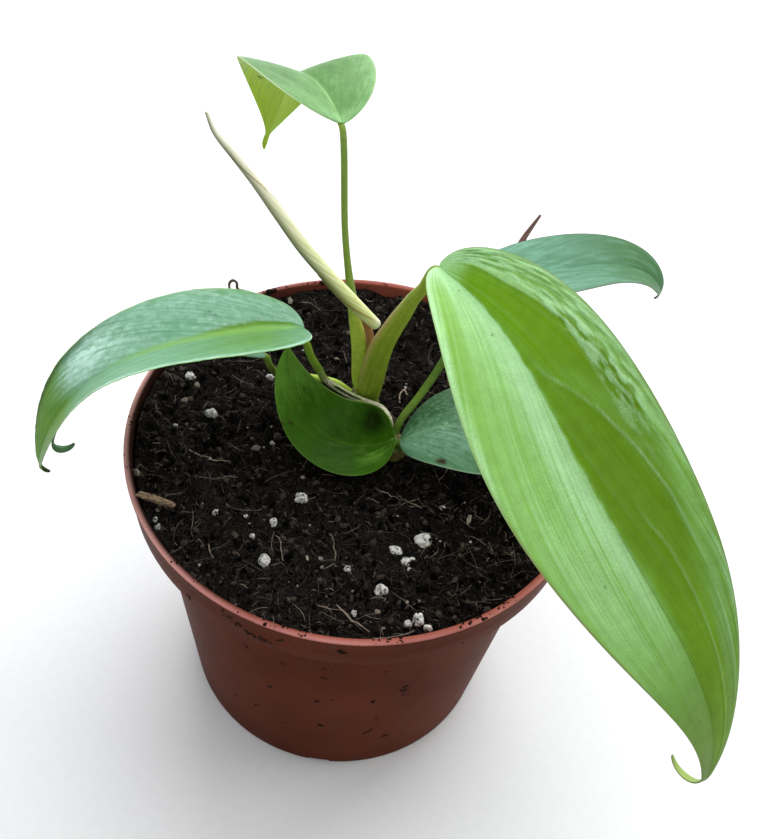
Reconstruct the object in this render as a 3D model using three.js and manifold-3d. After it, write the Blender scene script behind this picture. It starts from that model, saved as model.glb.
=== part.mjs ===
// Potted Lelano Miyano philodendron in a 120 mm nursery pot.
// Millimetres, +Z up. The origin is the centre of the pot's underside, the viewer stands at -Y.

import * as THREE from 'three';
import Module from 'manifold-3d';
import { mergeVertices } from 'three/addons/utils/BufferGeometryUtils.js';

const wasm = await Module();
wasm.setup();

// Pot
const POT_HEIGHT = 96;
const RIM_RADIUS = 60;
const LIP_WIDTH = 1.8;
const LIP_HEIGHT = 1.2;
const LIP_BEVEL = 0.3;
const COLLAR_TOP_RADIUS = 59.5;
const COLLAR_BOTTOM_RADIUS = 58.6;
const COLLAR_BOTTOM = 84;
const STEP_HEIGHT = 2.5;
const WALL_TOP_RADIUS = 53;
const BASE_RADIUS = 43.6;
const WALL = 1.3;
const SHOULDER_LIFT = 1;
const FLOOR = 1.6;
const CENTRE_DISC_RADIUS = 15;
const FOOT_INNER_RADIUS = 37;
const FOOT_BEVEL = 1;
const ARCH_HEIGHT = 1.8;
const DRAIN_HOLES = 8;
const DRAIN_HOLE_RADIUS = 3;
const DRAIN_CIRCLE_RADIUS = 26;
const FOOT_SLOTS = 4;
const FOOT_SLOT_WIDTH = 6;
const FOOT_SLOT_LENGTH = 14;
const FOOT_SLOT_DEPTH = 1.6;
const POT_SIDES = 56;

// Soil
const SOIL_LEVEL = 91;
const SOIL_RELIEF = 0.9;
const SOIL_TOP_RADIUS = 57.4;
const SOIL_RINGS = 13;
const SOIL_SIDES = 44;
const CLEARANCE = 0.3;

// Perlite: the large grains as x, y and radius, then the count and radius range of the small ones
const LARGE_GRAINS = [[-12.4, -18.2, 1.4], [-18.2, -26.4, 1.2], [-18.6, -37.3, 1.3], [12.8, -29.1, 1.5],
  [15.4, -32.2, 1.1], [19.4, -25.2, 1.8], [10.5, -41.7, 1.8], [20.3, -48.6, 1.7], [1.7, -37.4, 1],
  [-45.9, -31.4, 1], [-39.7, 5.5, 1.4], [-26.7, 22.5, 1.2], [-47.5, 16.3, 1.1]];
const SMALL_GRAINS = 16;
const SMALL_GRAIN_RADIUS = [0.6, 1];

// Blades: thickness, sharpness of the bend in a drip tip and how fast the base lobes fade out
const BLADE_THICKNESS = 0.8;
const HOOK_SHARPNESS = 1.5;
const LOBE_REACH = 0.05;

// Short stems that carry the leaf stalks: centre, half lengths, turn and height range
const MAIN_STEM = { x: -1.2, y: 19.5, halfLength: 5.4, halfWidth: 5, turn: 0, bottom: 78, top: 93 };
const SIDE_STEM = { x: 8.2, y: 3.2, halfLength: 4.8, halfWidth: 3.8, turn: -50, bottom: 79, top: 96.4 };
const STEM_PROFILE = [[0.45, 0], [0.75, 0.3], [1, 0.62], [0.93, 0.8], [0.62, 0.94]];
const STEM_SIDES = 20;

// Each blade follows a midrib that starts at base. heading and pitch (degrees, at even steps from
// base to tip) steer it, roll turns it, fold lifts each half from the midrib and curl bends it on
// outwards. rise and fall shape the outline. lobe sets how far the rounded base reaches back. tail
// is the drip tip's share of the length, and hook its extra bend from hookFrom on.
// Stalk points are x, y, z and radius, from the stem up to the blade.
const LEAVES = {
  leaf_1_front_right: {
    colour: 0x7fb24a,
    base: [13, 11, 150], length: 166.5, width: 43.5,
    heading: [-44, -55.5, -41, -28, -50], pitch: [6.5, -17, -33.5, -62.5, -98], roll: [12, 16, 10],
    foldLeft: [39.5, 25, 6.5], foldRight: [29.5, 11, -2.5],
    curlLeft: [4, 0.5, -5], curlRight: [1.5, -5.5, -10],
    rise: 0.72, fall: 1.4, lobe: 0.012, tail: 0.04, tailHalfWidth: 1.1, hook: -151, hookFrom: 0.9,
    stations: 32, across: 8,
    stalk: [[0.5, 18.2, 91.9, 2.3], [0.4, 17.6, 95.6, 2.8], [0.9, 17, 102.4, 2.9], [1.6, 16.2, 110, 2.8],
      [2.6, 15.4, 116.8, 2.6], [4.4, 14.5, 123.6, 2.3], [6.7, 13.4, 131.2, 2], [8.7, 12.4, 137.7, 1.6],
      [10.5, 11.8, 141.7, 1.4], [12.8, 11.1, 148.8, 1.2]],
  },
  leaf_2_left: {
    colour: 0x76a878,
    base: [-16, 3, 131.5], length: 90.5, width: 33,
    heading: [207, 195, 196, 207, 208], pitch: [13, -9, -29, -58, -86], roll: [6, 8, 0],
    foldLeft: [21, 25, 13], foldRight: [14, 15, 12], curlLeft: [-6, -2, -5], curlRight: [-9, -6, -5],
    rise: 0.5, fall: 0.84, lobe: 0.017, tail: 0.03, tailHalfWidth: 0.8, hook: -60, hookFrom: 0.92,
    stations: 22, across: 8,
    stalk: [[7, 4.6, 93, 1], [6.9, 7, 96.6, 1.1], [4.5, 10.6, 97.3, 1.1], [-0.3, 13.3, 96.4, 1],
      [-4.5, 14.8, 96.4, 1], [-8.1, 16, 97.2, 1], [-11.2, 15.9, 99.8, 1], [-13, 13.4, 106.4, 1],
      [-14.8, 8.6, 116, 1], [-16, 3.7, 126.6, 0.9]],
  },
  leaf_3_top: {
    colour: 0x8cc08c,
    base: [-13, 30, 172], length: 89.5, width: 32.5,
    heading: [117, 116, 110, 117, 136], pitch: [6, -21, -48, -62, -62], roll: [2, 5, 16],
    foldLeft: [24, 20, 6], foldRight: [17, 21, 5], curlLeft: [-17, -10, -9], curlRight: [-22, -11, -9],
    rise: 0.71, fall: 1.48, lobe: 0, tail: 0.03, tailHalfWidth: 0.8, hook: -25, hookFrom: 0.9,
    stations: 20, across: 8,
    stalk: [[-2.8, 21.4, 92, 1], [-3.6, 22.4, 94.6, 1.2], [-4.2, 24, 105.5, 1.7], [-5.1, 24.8, 111.2, 1.7],
      [-6.9, 26, 120.5, 1.3], [-8.7, 27, 130.2, 0.95], [-10.4, 28, 142, 0.85],
      [-13, 29.6, 171, 0.8]],
  },
  leaf_4_right: {
    colour: 0x659a7c,
    base: [26, 33.5, 128.5], length: 59, width: 24.5,
    heading: [10, 22, 28, 13, -20], pitch: [0, -3, -8, -22, -76], roll: [0, -4, 7],
    foldLeft: [9, 13, 15], foldRight: [9, 18, 8], curlLeft: [-11, -7, -3], curlRight: [-11, -5, -7],
    rise: 0.48, fall: 0.7, lobe: 0.039, tail: 0.04, tailHalfWidth: 0.8, hook: -60, hookFrom: 0.9,
    stations: 18, across: 8,
    stalk: [[8.6, 4, 93.4, 1], [9.6, 6.4, 98.4, 1], [13.6, 11, 104, 1], [17.8, 16.6, 110.3, 1],
      [22.6, 25, 120.5, 0.9], [25.6, 32.8, 127.8, 0.85]],
  },
  leaf_5_small: {
    colour: 0x5d9272,
    base: [10.4, 0.5, 97.4], length: 47, width: 30.5,
    heading: [11, 0, -8], pitch: [44, 4, -27], roll: [-9, 0, 6],
    foldLeft: [5, 1, -1], foldRight: [14, 0, -8], curlLeft: [-14, -13, -11], curlRight: [-9, -13, -14],
    rise: 0.58, fall: 0.74, lobe: 0, tail: 0.04, tailHalfWidth: 0.8, hook: -20, hookFrom: 0.9,
    stations: 16, across: 8,
    stalk: [[9, 2, 89, 1.2], [9.8, 1, 94, 1.2], [10.3, 0.6, 96.8, 1]],
  },
  leaf_6_cupped: {
    colour: 0x4a7d2a,
    base: [9, -1.5, 100.5], length: 49, width: 24.5,
    heading: [180, 168, 145, 121, 84], pitch: [-43, -15, 16, 40, 59], roll: [4, 8, 14],
    foldLeft: [-6, 6, 22], foldRight: [20, 21, 24], curlLeft: [6, 12, 21], curlRight: [19, 18, 17],
    rise: 0.36, fall: 0.83, lobe: 0.002, tail: 0.04, tailHalfWidth: 0.8, hook: 0, hookFrom: 0.9,
    stations: 18, across: 8,
    stalk: [[7.2, 2.4, 89, 1.3], [7.6, 0.2, 95.6, 1.2], [8.8, -1.6, 99.8, 1]],
  },
  leaf_7_under: {
    colour: 0x699c86,
    base: [-26.5, 8, 115.5], length: 79, width: 16,
    heading: [184, 189, 203, 216, 220], pitch: [13, -6, -33, -60, -90], roll: [0, 0, 0],
    foldLeft: [17, 32, 25], foldRight: [11, 9, 6], curlLeft: [-10, -10, -10], curlRight: [-10, -10, -10],
    rise: 0.5, fall: 0.9, lobe: 0.03, tail: 0.06, tailHalfWidth: 1.2, hook: -175, hookFrom: 0.87,
    stations: 24, across: 6,
    stalk: [[-4.7, 19.4, 92.3, 1], [-9, 20.4, 94.3, 1], [-17, 20.6, 94.8, 1], [-22.4, 19.4, 96, 1],
      [-24.6, 17.2, 98.8, 0.95], [-25.9, 14, 104.6, 0.9], [-26.6, 9.4, 113, 0.85]],
  },
};

// The rolled new leaf: x, y, z and radius from its stalk to its tip
const SPEAR = [[0, 21.6, 117.5, 1.5], [-6, 19, 126.5, 1.8], [-12.4, 15.9, 137.2, 1.8],
  [-18.5, 12.6, 148.5, 1.7], [-24.1, 9.1, 161, 1.5], [-28.8, 5.1, 172.7, 1.2],
  [-32.8, 0.2, 183.4, 0.9], [-35.8, -4.4, 192.4, 0.6], [-36.9, -6.2, 198, 0.35]];
const SPEAR_STALK = [[0.6, 21.8, 91.6, 1], [0.2, 22.6, 98, 1.1], [-0.8, 22.6, 109, 1.1],
  [-1.8, 21.8, 115, 1.1], [-3.4, 20.4, 121.5, 1]];
const SPEAR_TURNS = 1.6;
const SPEAR_STEP = 0.16;

// Dried bract and dead root as x, y, z and radius; the bark chip by its middle, size and angles
const BRACT = [[26, 33, 85, 1], [28, 38, 95, 1.1], [32, 48, 108, 1.1], [35.6, 57.6, 119, 0.9],
  [40, 63.6, 125.4, 0.35]];
const DEAD_ROOT = [[-31, 42, 87, 0.4], [-33.6, 44.4, 96, 0.4], [-36.8, 45.6, 98.4, 0.4],
  [-40.1, 45.9, 99, 0.4], [-40.8, 47.2, 100.1, 0.4], [-42, 47.2, 100.6, 0.4],
  [-42.6, 46, 100.2, 0.4], [-42.2, 44.7, 99.5, 0.35]];
const CHIP = { x: -47.3, y: -26.6, z: 95.4, length: 10.5, width: 3.1, thickness: 1.5, turn: 6, tilt: 26 };

// Mesh density
const MIDRIB_STEPS = 240;
const SIDES_OF_STALK = 8;
const SIDES_OF_THREAD = 6;
const NUDGE = 1e-3;

const { degToRad, clamp, lerp } = THREE.MathUtils;

// Value along evenly spaced knots, smooth through each of them; u runs from 0 to 1.
function along(knots, u) {
  const last = knots.length - 1;
  const x = clamp(u, 0, 1) * last;
  const i = Math.min(Math.floor(x), last - 1);
  const t = x - i;
  const a = knots[i];
  const b = knots[i + 1];
  const before = i > 0 ? knots[i - 1] : 2 * a - b;
  const after = i < last - 1 ? knots[i + 2] : 2 * b - a;
  const slopeA = (b - before) / 2;
  const slopeB = (after - a) / 2;
  const t2 = t * t;
  const t3 = t2 * t;
  return (2 * t3 - 3 * t2 + 1) * a + (t3 - 2 * t2 + t) * slopeA + (3 * t2 - 2 * t3) * b + (t3 - t2) * slopeB;
}

// A repeatable random draw between 0 and 1
function makeRandom(seed) {
  let state = seed;
  return () => {
    state = (state * 1664525 + 1013904223) % 4294967296;
    return state / 4294967296;
  };
}

// Surface through rings of points, each ring with the same count, open at both ends;
// split(k) says which diagonal cuts the quad that starts at point k.
function ringSurface(rings, split = () => true) {
  const count = rings[0].length;
  const positions = rings.flat().flatMap((p) => [p.x, p.y, p.z]);
  const faces = [];
  for (let i = 0; i < rings.length - 1; i += 1) {
    for (let k = 0; k < count; k += 1) {
      const a = i * count + k;
      const b = i * count + ((k + 1) % count);
      const c = b + count;
      const d = a + count;
      if (split(k)) faces.push(a, b, c, a, c, d);
      else faces.push(a, b, d, b, c, d);
    }
  }
  return { positions, faces, count, lastRing: (rings.length - 1) * count };
}

// End caps as fans round the middle of each end ring
function closeWithFans(surface) {
  const { positions, faces, count, lastRing } = surface;
  for (const [start, flip] of [[0, true], [lastRing, false]]) {
    const centre = new THREE.Vector3();
    for (let k = 0; k < count; k += 1) {
      const at = (start + k) * 3;
      centre.add(new THREE.Vector3(positions[at], positions[at + 1], positions[at + 2]));
    }
    centre.divideScalar(count);
    const hub = positions.length / 3;
    positions.push(centre.x, centre.y, centre.z);
    for (let k = 0; k < count; k += 1) {
      const a = start + k;
      const b = start + ((k + 1) % count);
      if (flip) faces.push(hub, b, a);
      else faces.push(hub, a, b);
    }
  }
  return outwards(positions, faces);
}

// End caps as strips between the upper and lower face of a blade
function closeWithStrips(surface, across) {
  const { positions, faces, count, lastRing } = surface;
  for (const [start, flip] of [[0, true], [lastRing, false]]) {
    for (let k = 0; k < across; k += 1) {
      const a = start + k;
      const b = start + k + 1;
      const c = start + count - 2 - k;
      const d = start + count - 1 - k;
      if (flip) faces.push(a, c, b, a, d, c);
      else faces.push(a, b, c, a, c, d);
    }
  }
  return outwards(positions, faces);
}

// Geometry with its faces turned outwards, told from the sign of its volume
function outwards(positions, faces) {
  let volume = 0;
  const point = (i) => new THREE.Vector3(positions[3 * i], positions[3 * i + 1], positions[3 * i + 2]);
  for (let i = 0; i < faces.length; i += 3) {
    const a = point(faces[i]);
    const b = point(faces[i + 1]);
    const c = point(faces[i + 2]);
    volume += a.dot(b.cross(c));
  }
  const index = [...faces];
  if (volume < 0) {
    for (let i = 0; i < index.length; i += 3) [index[i], index[i + 1]] = [index[i + 1], index[i]];
  }
  const geometry = new THREE.BufferGeometry();
  geometry.setAttribute('position', new THREE.Float32BufferAttribute(positions, 3));
  geometry.setIndex(index);
  return geometry;
}

function toSolid(geometry) {
  const bare = geometry.clone();
  bare.deleteAttribute('normal');
  bare.deleteAttribute('uv');
  const merged = mergeVertices(bare, 1e-5);
  return new wasm.Manifold(new wasm.Mesh({
    numProp: 3,
    vertProperties: new Float32Array(merged.attributes.position.array),
    triVerts: new Uint32Array(merged.index.array),
  }));
}

function toGeometry(solid) {
  const mesh = solid.getMesh();
  const geometry = new THREE.BufferGeometry();
  geometry.setAttribute('position', new THREE.BufferAttribute(new Float32Array(mesh.vertProperties), 3));
  geometry.setIndex(new THREE.BufferAttribute(new Uint32Array(mesh.triVerts), 1));
  return geometry;
}

// Rings round a smooth path; section(angle, t) gives the radius as a share of the path's radius.
function pathRings(path, steps, sides, section = () => 1, grow = 0) {
  const curve = new THREE.CatmullRomCurve3(path.map(([x, y, z]) => new THREE.Vector3(x, y, z)));
  const radii = path.map((p) => p[3] + grow);
  const rings = [];
  let side = new THREE.Vector3(1, 0, 0);
  for (let i = 0; i <= steps; i += 1) {
    const t = i / steps;
    const centre = curve.getPoint(t);
    const forward = curve.getTangent(t);
    side = side.clone().addScaledVector(forward, -side.dot(forward)).normalize();
    const up = new THREE.Vector3().crossVectors(forward, side);
    const ring = [];
    for (let k = 0; k < sides; k += 1) {
      const angle = (2 * Math.PI * k) / sides;
      const radius = along(radii, t) * section(angle, t);
      ring.push(centre.clone().addScaledVector(side, radius * Math.cos(angle))
        .addScaledVector(up, radius * Math.sin(angle)));
    }
    rings.push(ring);
  }
  return rings;
}

function taperedTube(path, sides, grow = 0) {
  const steps = 2 * path.length + 2;
  return closeWithFans(ringSurface(pathRings(path, steps, sides, () => 1, grow)));
}

// Midrib of a leaf as points with their frames, at even steps
function midrib(leaf) {
  const frames = [];
  const point = new THREE.Vector3(...leaf.base);
  for (let i = 0; i <= MIDRIB_STEPS; i += 1) {
    const u = i / MIDRIB_STEPS;
    const bend = Math.max(0, (u - leaf.hookFrom) / (1 - leaf.hookFrom)) ** HOOK_SHARPNESS;
    const heading = degToRad(along(leaf.heading, u));
    const pitch = degToRad(along(leaf.pitch, u) + leaf.hook * bend);
    const roll = degToRad(along(leaf.roll, u));
    const forward = new THREE.Vector3(
      Math.cos(pitch) * Math.cos(heading),
      Math.cos(pitch) * Math.sin(heading),
      Math.sin(pitch),
    );
    const level = new THREE.Vector3(-Math.sin(heading), Math.cos(heading), 0);
    const upright = new THREE.Vector3().crossVectors(forward, level);
    const left = level.clone().multiplyScalar(Math.cos(roll)).addScaledVector(upright, Math.sin(roll));
    const normal = upright.clone().multiplyScalar(Math.cos(roll)).addScaledVector(level, -Math.sin(roll));
    if (i > 0) {
      const mean = frames[i - 1].forward.clone().add(forward).divideScalar(2);
      point.addScaledVector(mean, leaf.length / MIDRIB_STEPS);
    }
    frames.push({ point: point.clone(), forward, left, normal });
  }
  return frames;
}

function frameAt(frames, u) {
  const last = frames.length - 1;
  const x = clamp(u, 0, 1) * last;
  const i = Math.min(Math.floor(x), last - 1);
  const mix = (name) => frames[i][name].clone().lerp(frames[i + 1][name], x - i);
  return { point: mix('point'), left: mix('left'), normal: mix('normal') };
}

// Half width of the blade at u: a rounded rise from the base, a long fall, then the drip tip
function halfWidth(leaf, u) {
  const { rise, fall, tail } = leaf;
  const s = Math.min(u / (1 - tail), 1);
  const peak = rise / (rise + fall);
  const outline = (s ** rise * (1 - s) ** fall) / (peak ** rise * (1 - peak) ** fall);
  const tip = u > 0.5 ? leaf.tailHalfWidth * Math.min(1, Math.sqrt((1 - u) / tail)) : 0;
  return Math.max((leaf.width / 2) * outline, tip);
}

// Point of the blade at u along the midrib and v across, from -1 on the right to 1 on the left
function bladePoint(leaf, frames, u, v) {
  const away = Math.abs(v);
  const back = leaf.lobe * away ** 2 * (u / LOBE_REACH) * Math.exp(1 - u / LOBE_REACH);
  const s = u - back;
  const width = halfWidth(leaf, u);
  const fold = degToRad(along(v < 0 ? leaf.foldRight : leaf.foldLeft, u));
  const bend = degToRad(along(v < 0 ? leaf.curlRight : leaf.curlLeft, u));
  const curl = Math.abs(bend) < 1e-4 ? 1e-4 : bend;
  const sideways = ((Math.sin(fold + curl * away) - Math.sin(fold)) / curl) * width * Math.sign(v);
  const lift = ((Math.cos(fold) - Math.cos(fold + curl * away)) / curl) * width;
  const { point, left, normal } = frameAt(frames, s);
  if (s < 0) point.addScaledVector(frames[0].forward, s * leaf.length);
  return point.addScaledVector(left, sideways).addScaledVector(normal, lift);
}

// The blade's surface normal, from points a small step to either side
function bladeNormal(leaf, frames, u, v) {
  const inner = v - Math.sign(v) * NUDGE;
  const lengthwise = bladePoint(leaf, frames, u + NUDGE, v).sub(bladePoint(leaf, frames, u - NUDGE, v));
  const crosswise = bladePoint(leaf, frames, u, inner + NUDGE)
    .sub(bladePoint(leaf, frames, u, inner - NUDGE));
  return lengthwise.cross(crosswise).normalize();
}

// Stations lie closer together near the base and the tip, where the outline turns fastest.
function bladeGeometry(leaf) {
  const frames = midrib(leaf);
  const { stations, across } = leaf;
  const [first, last, evenShare] = [0.004, 0.995, 0.35];
  const rings = [];
  for (let i = 0; i <= stations; i += 1) {
    const even = i / stations;
    const eased = 0.5 - 0.5 * Math.cos(Math.PI * even);
    const u = lerp(first, last, lerp(eased, even, evenShare));
    const upper = [];
    const lower = [];
    for (let k = 0; k <= across; k += 1) {
      const v = -1 + (2 * k) / across;
      const middle = bladePoint(leaf, frames, u, v);
      const face = bladeNormal(leaf, frames, u, v);
      upper.push(middle.clone().addScaledVector(face, BLADE_THICKNESS / 2));
      lower.unshift(middle.clone().addScaledVector(face, -BLADE_THICKNESS / 2));
    }
    rings.push([...upper, ...lower]);
  }
  return closeWithStrips(ringSurface(rings, (k) => k < across), across);
}

function stemGeometry(stem, grow = 0) {
  const height = stem.top - stem.bottom;
  const profile = STEM_PROFILE.map(([r, z]) => new THREE.Vector2(r, z * height));
  const points = [new THREE.Vector2(0, 0), ...profile, new THREE.Vector2(0, height)];
  const geometry = new THREE.LatheGeometry(points, STEM_SIDES);
  geometry.rotateX(Math.PI / 2);
  geometry.scale(stem.halfLength + grow, stem.halfWidth + grow, (height + 2 * grow) / height);
  geometry.rotateZ(degToRad(stem.turn));
  geometry.translate(stem.x, stem.y, stem.bottom - grow);
  return geometry;
}

// The one body left after taking the cutters away, without loose scraps
function cutFree(solid, cutters) {
  const pieces = cutters.reduce((rest, cutter) => rest.subtract(cutter), solid).decompose();
  pieces.sort((a, b) => b.volume() - a.volume());
  return toGeometry(pieces[0]);
}

// A leaf is its blade and its stalk grown together, cut short of the stem it stands on. The stalk
// runs on thinner under the first part of the blade, as the raised midrib there.
function leafGeometry(leaf, stems) {
  const frames = midrib(leaf);
  const end = leaf.stalk.at(-1)[3];
  const under = [[0.03, 0.95], [0.1, 0.6]].map(([u, share]) => {
    const { point, normal } = frameAt(frames, u);
    const sunk = point.addScaledVector(normal, -end / 4);
    return [sunk.x, sunk.y, sunk.z, end * share];
  });
  const stalk = taperedTube([...leaf.stalk, ...under], SIDES_OF_STALK);
  return cutFree(toSolid(bladeGeometry(leaf)).add(toSolid(stalk)), stems);
}

// The new leaf is a roll with one free edge that winds round it as a small step.
function spearGeometry(stems) {
  const section = (angle, t) => {
    const turned = (angle / (2 * Math.PI) + SPEAR_TURNS * t) % 1;
    return 1 + SPEAR_STEP * (turned - 0.5);
  };
  const roll = closeWithFans(ringSurface(pathRings(SPEAR, 22, 12, section)));
  const stalk = taperedTube(SPEAR_STALK, SIDES_OF_STALK);
  return cutFree(toSolid(roll).add(toSolid(stalk)), stems);
}

// The pot is turned from one profile: a flat centre disc and a foot ring below, the wall, the
// wider collar with its lip, and back down inside. Drain holes and foot slots are cut out.
function potGeometry() {
  const lipBottom = POT_HEIGHT - LIP_HEIGHT;
  const lipInner = RIM_RADIUS - LIP_WIDTH;
  const stepBottom = COLLAR_BOTTOM - STEP_HEIGHT;
  const floorTop = ARCH_HEIGHT + FLOOR;
  const profile = [
    [0, 0], [CENTRE_DISC_RADIUS, 0], [CENTRE_DISC_RADIUS + ARCH_HEIGHT, ARCH_HEIGHT],
    [FOOT_INNER_RADIUS - ARCH_HEIGHT, ARCH_HEIGHT], [FOOT_INNER_RADIUS, 0],
    [BASE_RADIUS - FOOT_BEVEL, 0], [BASE_RADIUS, FOOT_BEVEL],
    [WALL_TOP_RADIUS, stepBottom], [COLLAR_BOTTOM_RADIUS, COLLAR_BOTTOM],
    [COLLAR_TOP_RADIUS, lipBottom - LIP_BEVEL], [RIM_RADIUS, lipBottom],
    [RIM_RADIUS, POT_HEIGHT - LIP_BEVEL], [RIM_RADIUS - LIP_BEVEL, POT_HEIGHT],
    [lipInner + LIP_BEVEL, POT_HEIGHT], [lipInner, POT_HEIGHT - LIP_BEVEL],
    [COLLAR_BOTTOM_RADIUS - WALL, COLLAR_BOTTOM + SHOULDER_LIFT],
    [WALL_TOP_RADIUS - WALL, stepBottom + SHOULDER_LIFT],
    [BASE_RADIUS - WALL + 0.5, floorTop], [0, floorTop],
  ].map(([radius, height]) => new THREE.Vector2(radius, height));
  let pot = toSolid(new THREE.LatheGeometry(profile, POT_SIDES).rotateX(Math.PI / 2));
  for (let i = 0; i < DRAIN_HOLES; i += 1) {
    const angle = (2 * Math.PI * (i + 0.5)) / DRAIN_HOLES;
    const hole = new THREE.CylinderGeometry(DRAIN_HOLE_RADIUS, DRAIN_HOLE_RADIUS, 3 * floorTop, 14);
    hole.rotateX(Math.PI / 2);
    hole.translate(DRAIN_CIRCLE_RADIUS * Math.cos(angle), DRAIN_CIRCLE_RADIUS * Math.sin(angle), 0);
    pot = pot.subtract(toSolid(hole));
  }
  for (let i = 0; i < FOOT_SLOTS; i += 1) {
    const slot = new THREE.BoxGeometry(FOOT_SLOT_LENGTH, FOOT_SLOT_WIDTH, 2 * FOOT_SLOT_DEPTH);
    slot.translate((BASE_RADIUS + FOOT_INNER_RADIUS) / 2, 0, 0);
    slot.rotateZ((2 * Math.PI * i) / FOOT_SLOTS);
    pot = pot.subtract(toSolid(slot));
  }
  return toGeometry(pot);
}

// Height of the soil's surface: a few low waves, always below the rim
function soilHeight(x, y) {
  const waves = Math.sin(x * 0.21 + 1.3) * Math.cos(y * 0.17 - 0.4)
    + 0.6 * Math.sin(x * 0.43 - y * 0.31 + 2.1)
    + 0.4 * Math.sin(x * 0.71 + y * 0.83);
  return SOIL_LEVEL + (SOIL_RELIEF * waves) / 2;
}

function soilRing(radius, height) {
  const ring = [];
  for (let k = 0; k < SOIL_SIDES; k += 1) {
    const angle = (2 * Math.PI * k) / SOIL_SIDES;
    const x = radius * Math.cos(angle);
    const y = radius * Math.sin(angle);
    ring.push(new THREE.Vector3(x, y, height ?? soilHeight(x, y)));
  }
  return ring;
}

// Small grains lie where the seeded draw puts them, away from the stems.
function grainPlaces() {
  const random = makeRandom(7);
  const places = LARGE_GRAINS.slice();
  while (places.length < LARGE_GRAINS.length + SMALL_GRAINS) {
    const reach = (SOIL_TOP_RADIUS - 4) * Math.sqrt(random());
    const angle = 2 * Math.PI * random();
    const x = reach * Math.cos(angle);
    const y = reach * Math.sin(angle);
    const size = lerp(...SMALL_GRAIN_RADIUS, random());
    const nearStem = [MAIN_STEM, SIDE_STEM].some((stem) => Math.hypot(x - stem.x, y - stem.y) < 10);
    if (!nearStem) places.push([x, y, size]);
  }
  return places;
}

// The soil fills the pot, with the perlite grown into its surface and plain holes for what stands
// in it.
function soilGeometry(cutters) {
  const inset = WALL + 2 * CLEARANCE;
  const shoulder = SHOULDER_LIFT + CLEARANCE;
  const rings = [
    soilRing(BASE_RADIUS - inset, ARCH_HEIGHT + FLOOR + CLEARANCE),
    soilRing(WALL_TOP_RADIUS - inset, COLLAR_BOTTOM - STEP_HEIGHT + shoulder),
    soilRing(COLLAR_BOTTOM_RADIUS - inset, COLLAR_BOTTOM + shoulder),
  ];
  for (let i = 0; i < SOIL_RINGS; i += 1) rings.push(soilRing(SOIL_TOP_RADIUS * (1 - i / SOIL_RINGS)));
  let soil = toSolid(closeWithFans(ringSurface(rings)));
  const random = makeRandom(3);
  for (const [x, y, size] of grainPlaces()) {
    const grain = new THREE.IcosahedronGeometry(size, 0);
    grain.rotateX(3 * random()).rotateY(3 * random());
    grain.translate(x, y, soilHeight(x, y));
    soil = soil.add(toSolid(grain));
  }
  return cutFree(soil, cutters);
}

// The hole a path stands in: wider all round and deeper at its foot
function holeFor(path) {
  const [x, y, z, radius] = path[0];
  return toSolid(taperedTube([[x, y, z - 3 * CLEARANCE, radius], ...path], SIDES_OF_THREAD, 1.5 * CLEARANCE));
}

// A splinter of bark: a slab with uneven ends
function chipGeometry() {
  const { length, width, thickness } = CHIP;
  const outline = [[-0.5, -0.3], [0, -0.5], [0.46, -0.34], [0.5, 0.15], [0.3, 0.42], [-0.1, 0.5],
    [-0.42, 0.35]];
  const shape = new THREE.Shape(outline.map(([x, y]) => new THREE.Vector2(x * length, y * width)));
  const bevel = 0.3;
  const geometry = new THREE.ExtrudeGeometry(shape, {
    depth: thickness - 2 * bevel,
    bevelThickness: bevel,
    bevelSize: bevel,
    bevelOffset: -bevel,
    bevelSegments: 1,
  });
  geometry.translate(0, 0, bevel - thickness / 2);
  geometry.rotateY(degToRad(CHIP.tilt));
  geometry.rotateZ(degToRad(CHIP.turn));
  return geometry.translate(CHIP.x, CHIP.y, CHIP.z);
}

function named(name, geometry, colour, roughness) {
  const flat = geometry.index ? geometry.toNonIndexed() : geometry;
  flat.computeVertexNormals();
  const material = new THREE.MeshStandardMaterial({ color: colour, roughness, metalness: 0 });
  const mesh = new THREE.Mesh(flat, material);
  mesh.name = name;
  return mesh;
}

const stemHoles = [MAIN_STEM, SIDE_STEM].map((stem) => toSolid(stemGeometry(stem, CLEARANCE)));

const plant = new THREE.Group();
plant.add(named('stem_main', stemGeometry(MAIN_STEM), 0x6f7a33, 0.6));
plant.add(named('stem_side', stemGeometry(SIDE_STEM), 0x6f7a33, 0.6));
for (const [name, leaf] of Object.entries(LEAVES)) {
  plant.add(named(name, leafGeometry(leaf, stemHoles), leaf.colour, 0.45));
}
plant.add(named('new_leaf_rolled', spearGeometry(stemHoles), 0xc3cf8a, 0.5));
plant.add(named('dried_bract', taperedTube(BRACT, SIDES_OF_THREAD), 0x5a3f36, 0.85));

const soilCutters = [...stemHoles, holeFor(BRACT), holeFor(DEAD_ROOT)];
const holder = new THREE.Group();
holder.add(named('pot', potGeometry(), 0x8a4535, 0.5));
holder.add(named('soil', soilGeometry(soilCutters), 0x1d1a17, 1));
holder.add(named('bark_chip', chipGeometry(), 0x6b5138, 0.9));
holder.add(named('dead_root', taperedTube(DEAD_ROOT, SIDES_OF_THREAD), 0x3a2c22, 0.9));

const part = new THREE.Group();
part.add(plant, holder);

export default part;
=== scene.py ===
"""Looks for a potted philodendron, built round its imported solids.

Lengths are millimetres in the part's frame and angles are degrees; meshes are written in metres.
"""
import math

import bpy
import numpy as np
from mathutils import Matrix, Vector


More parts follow.
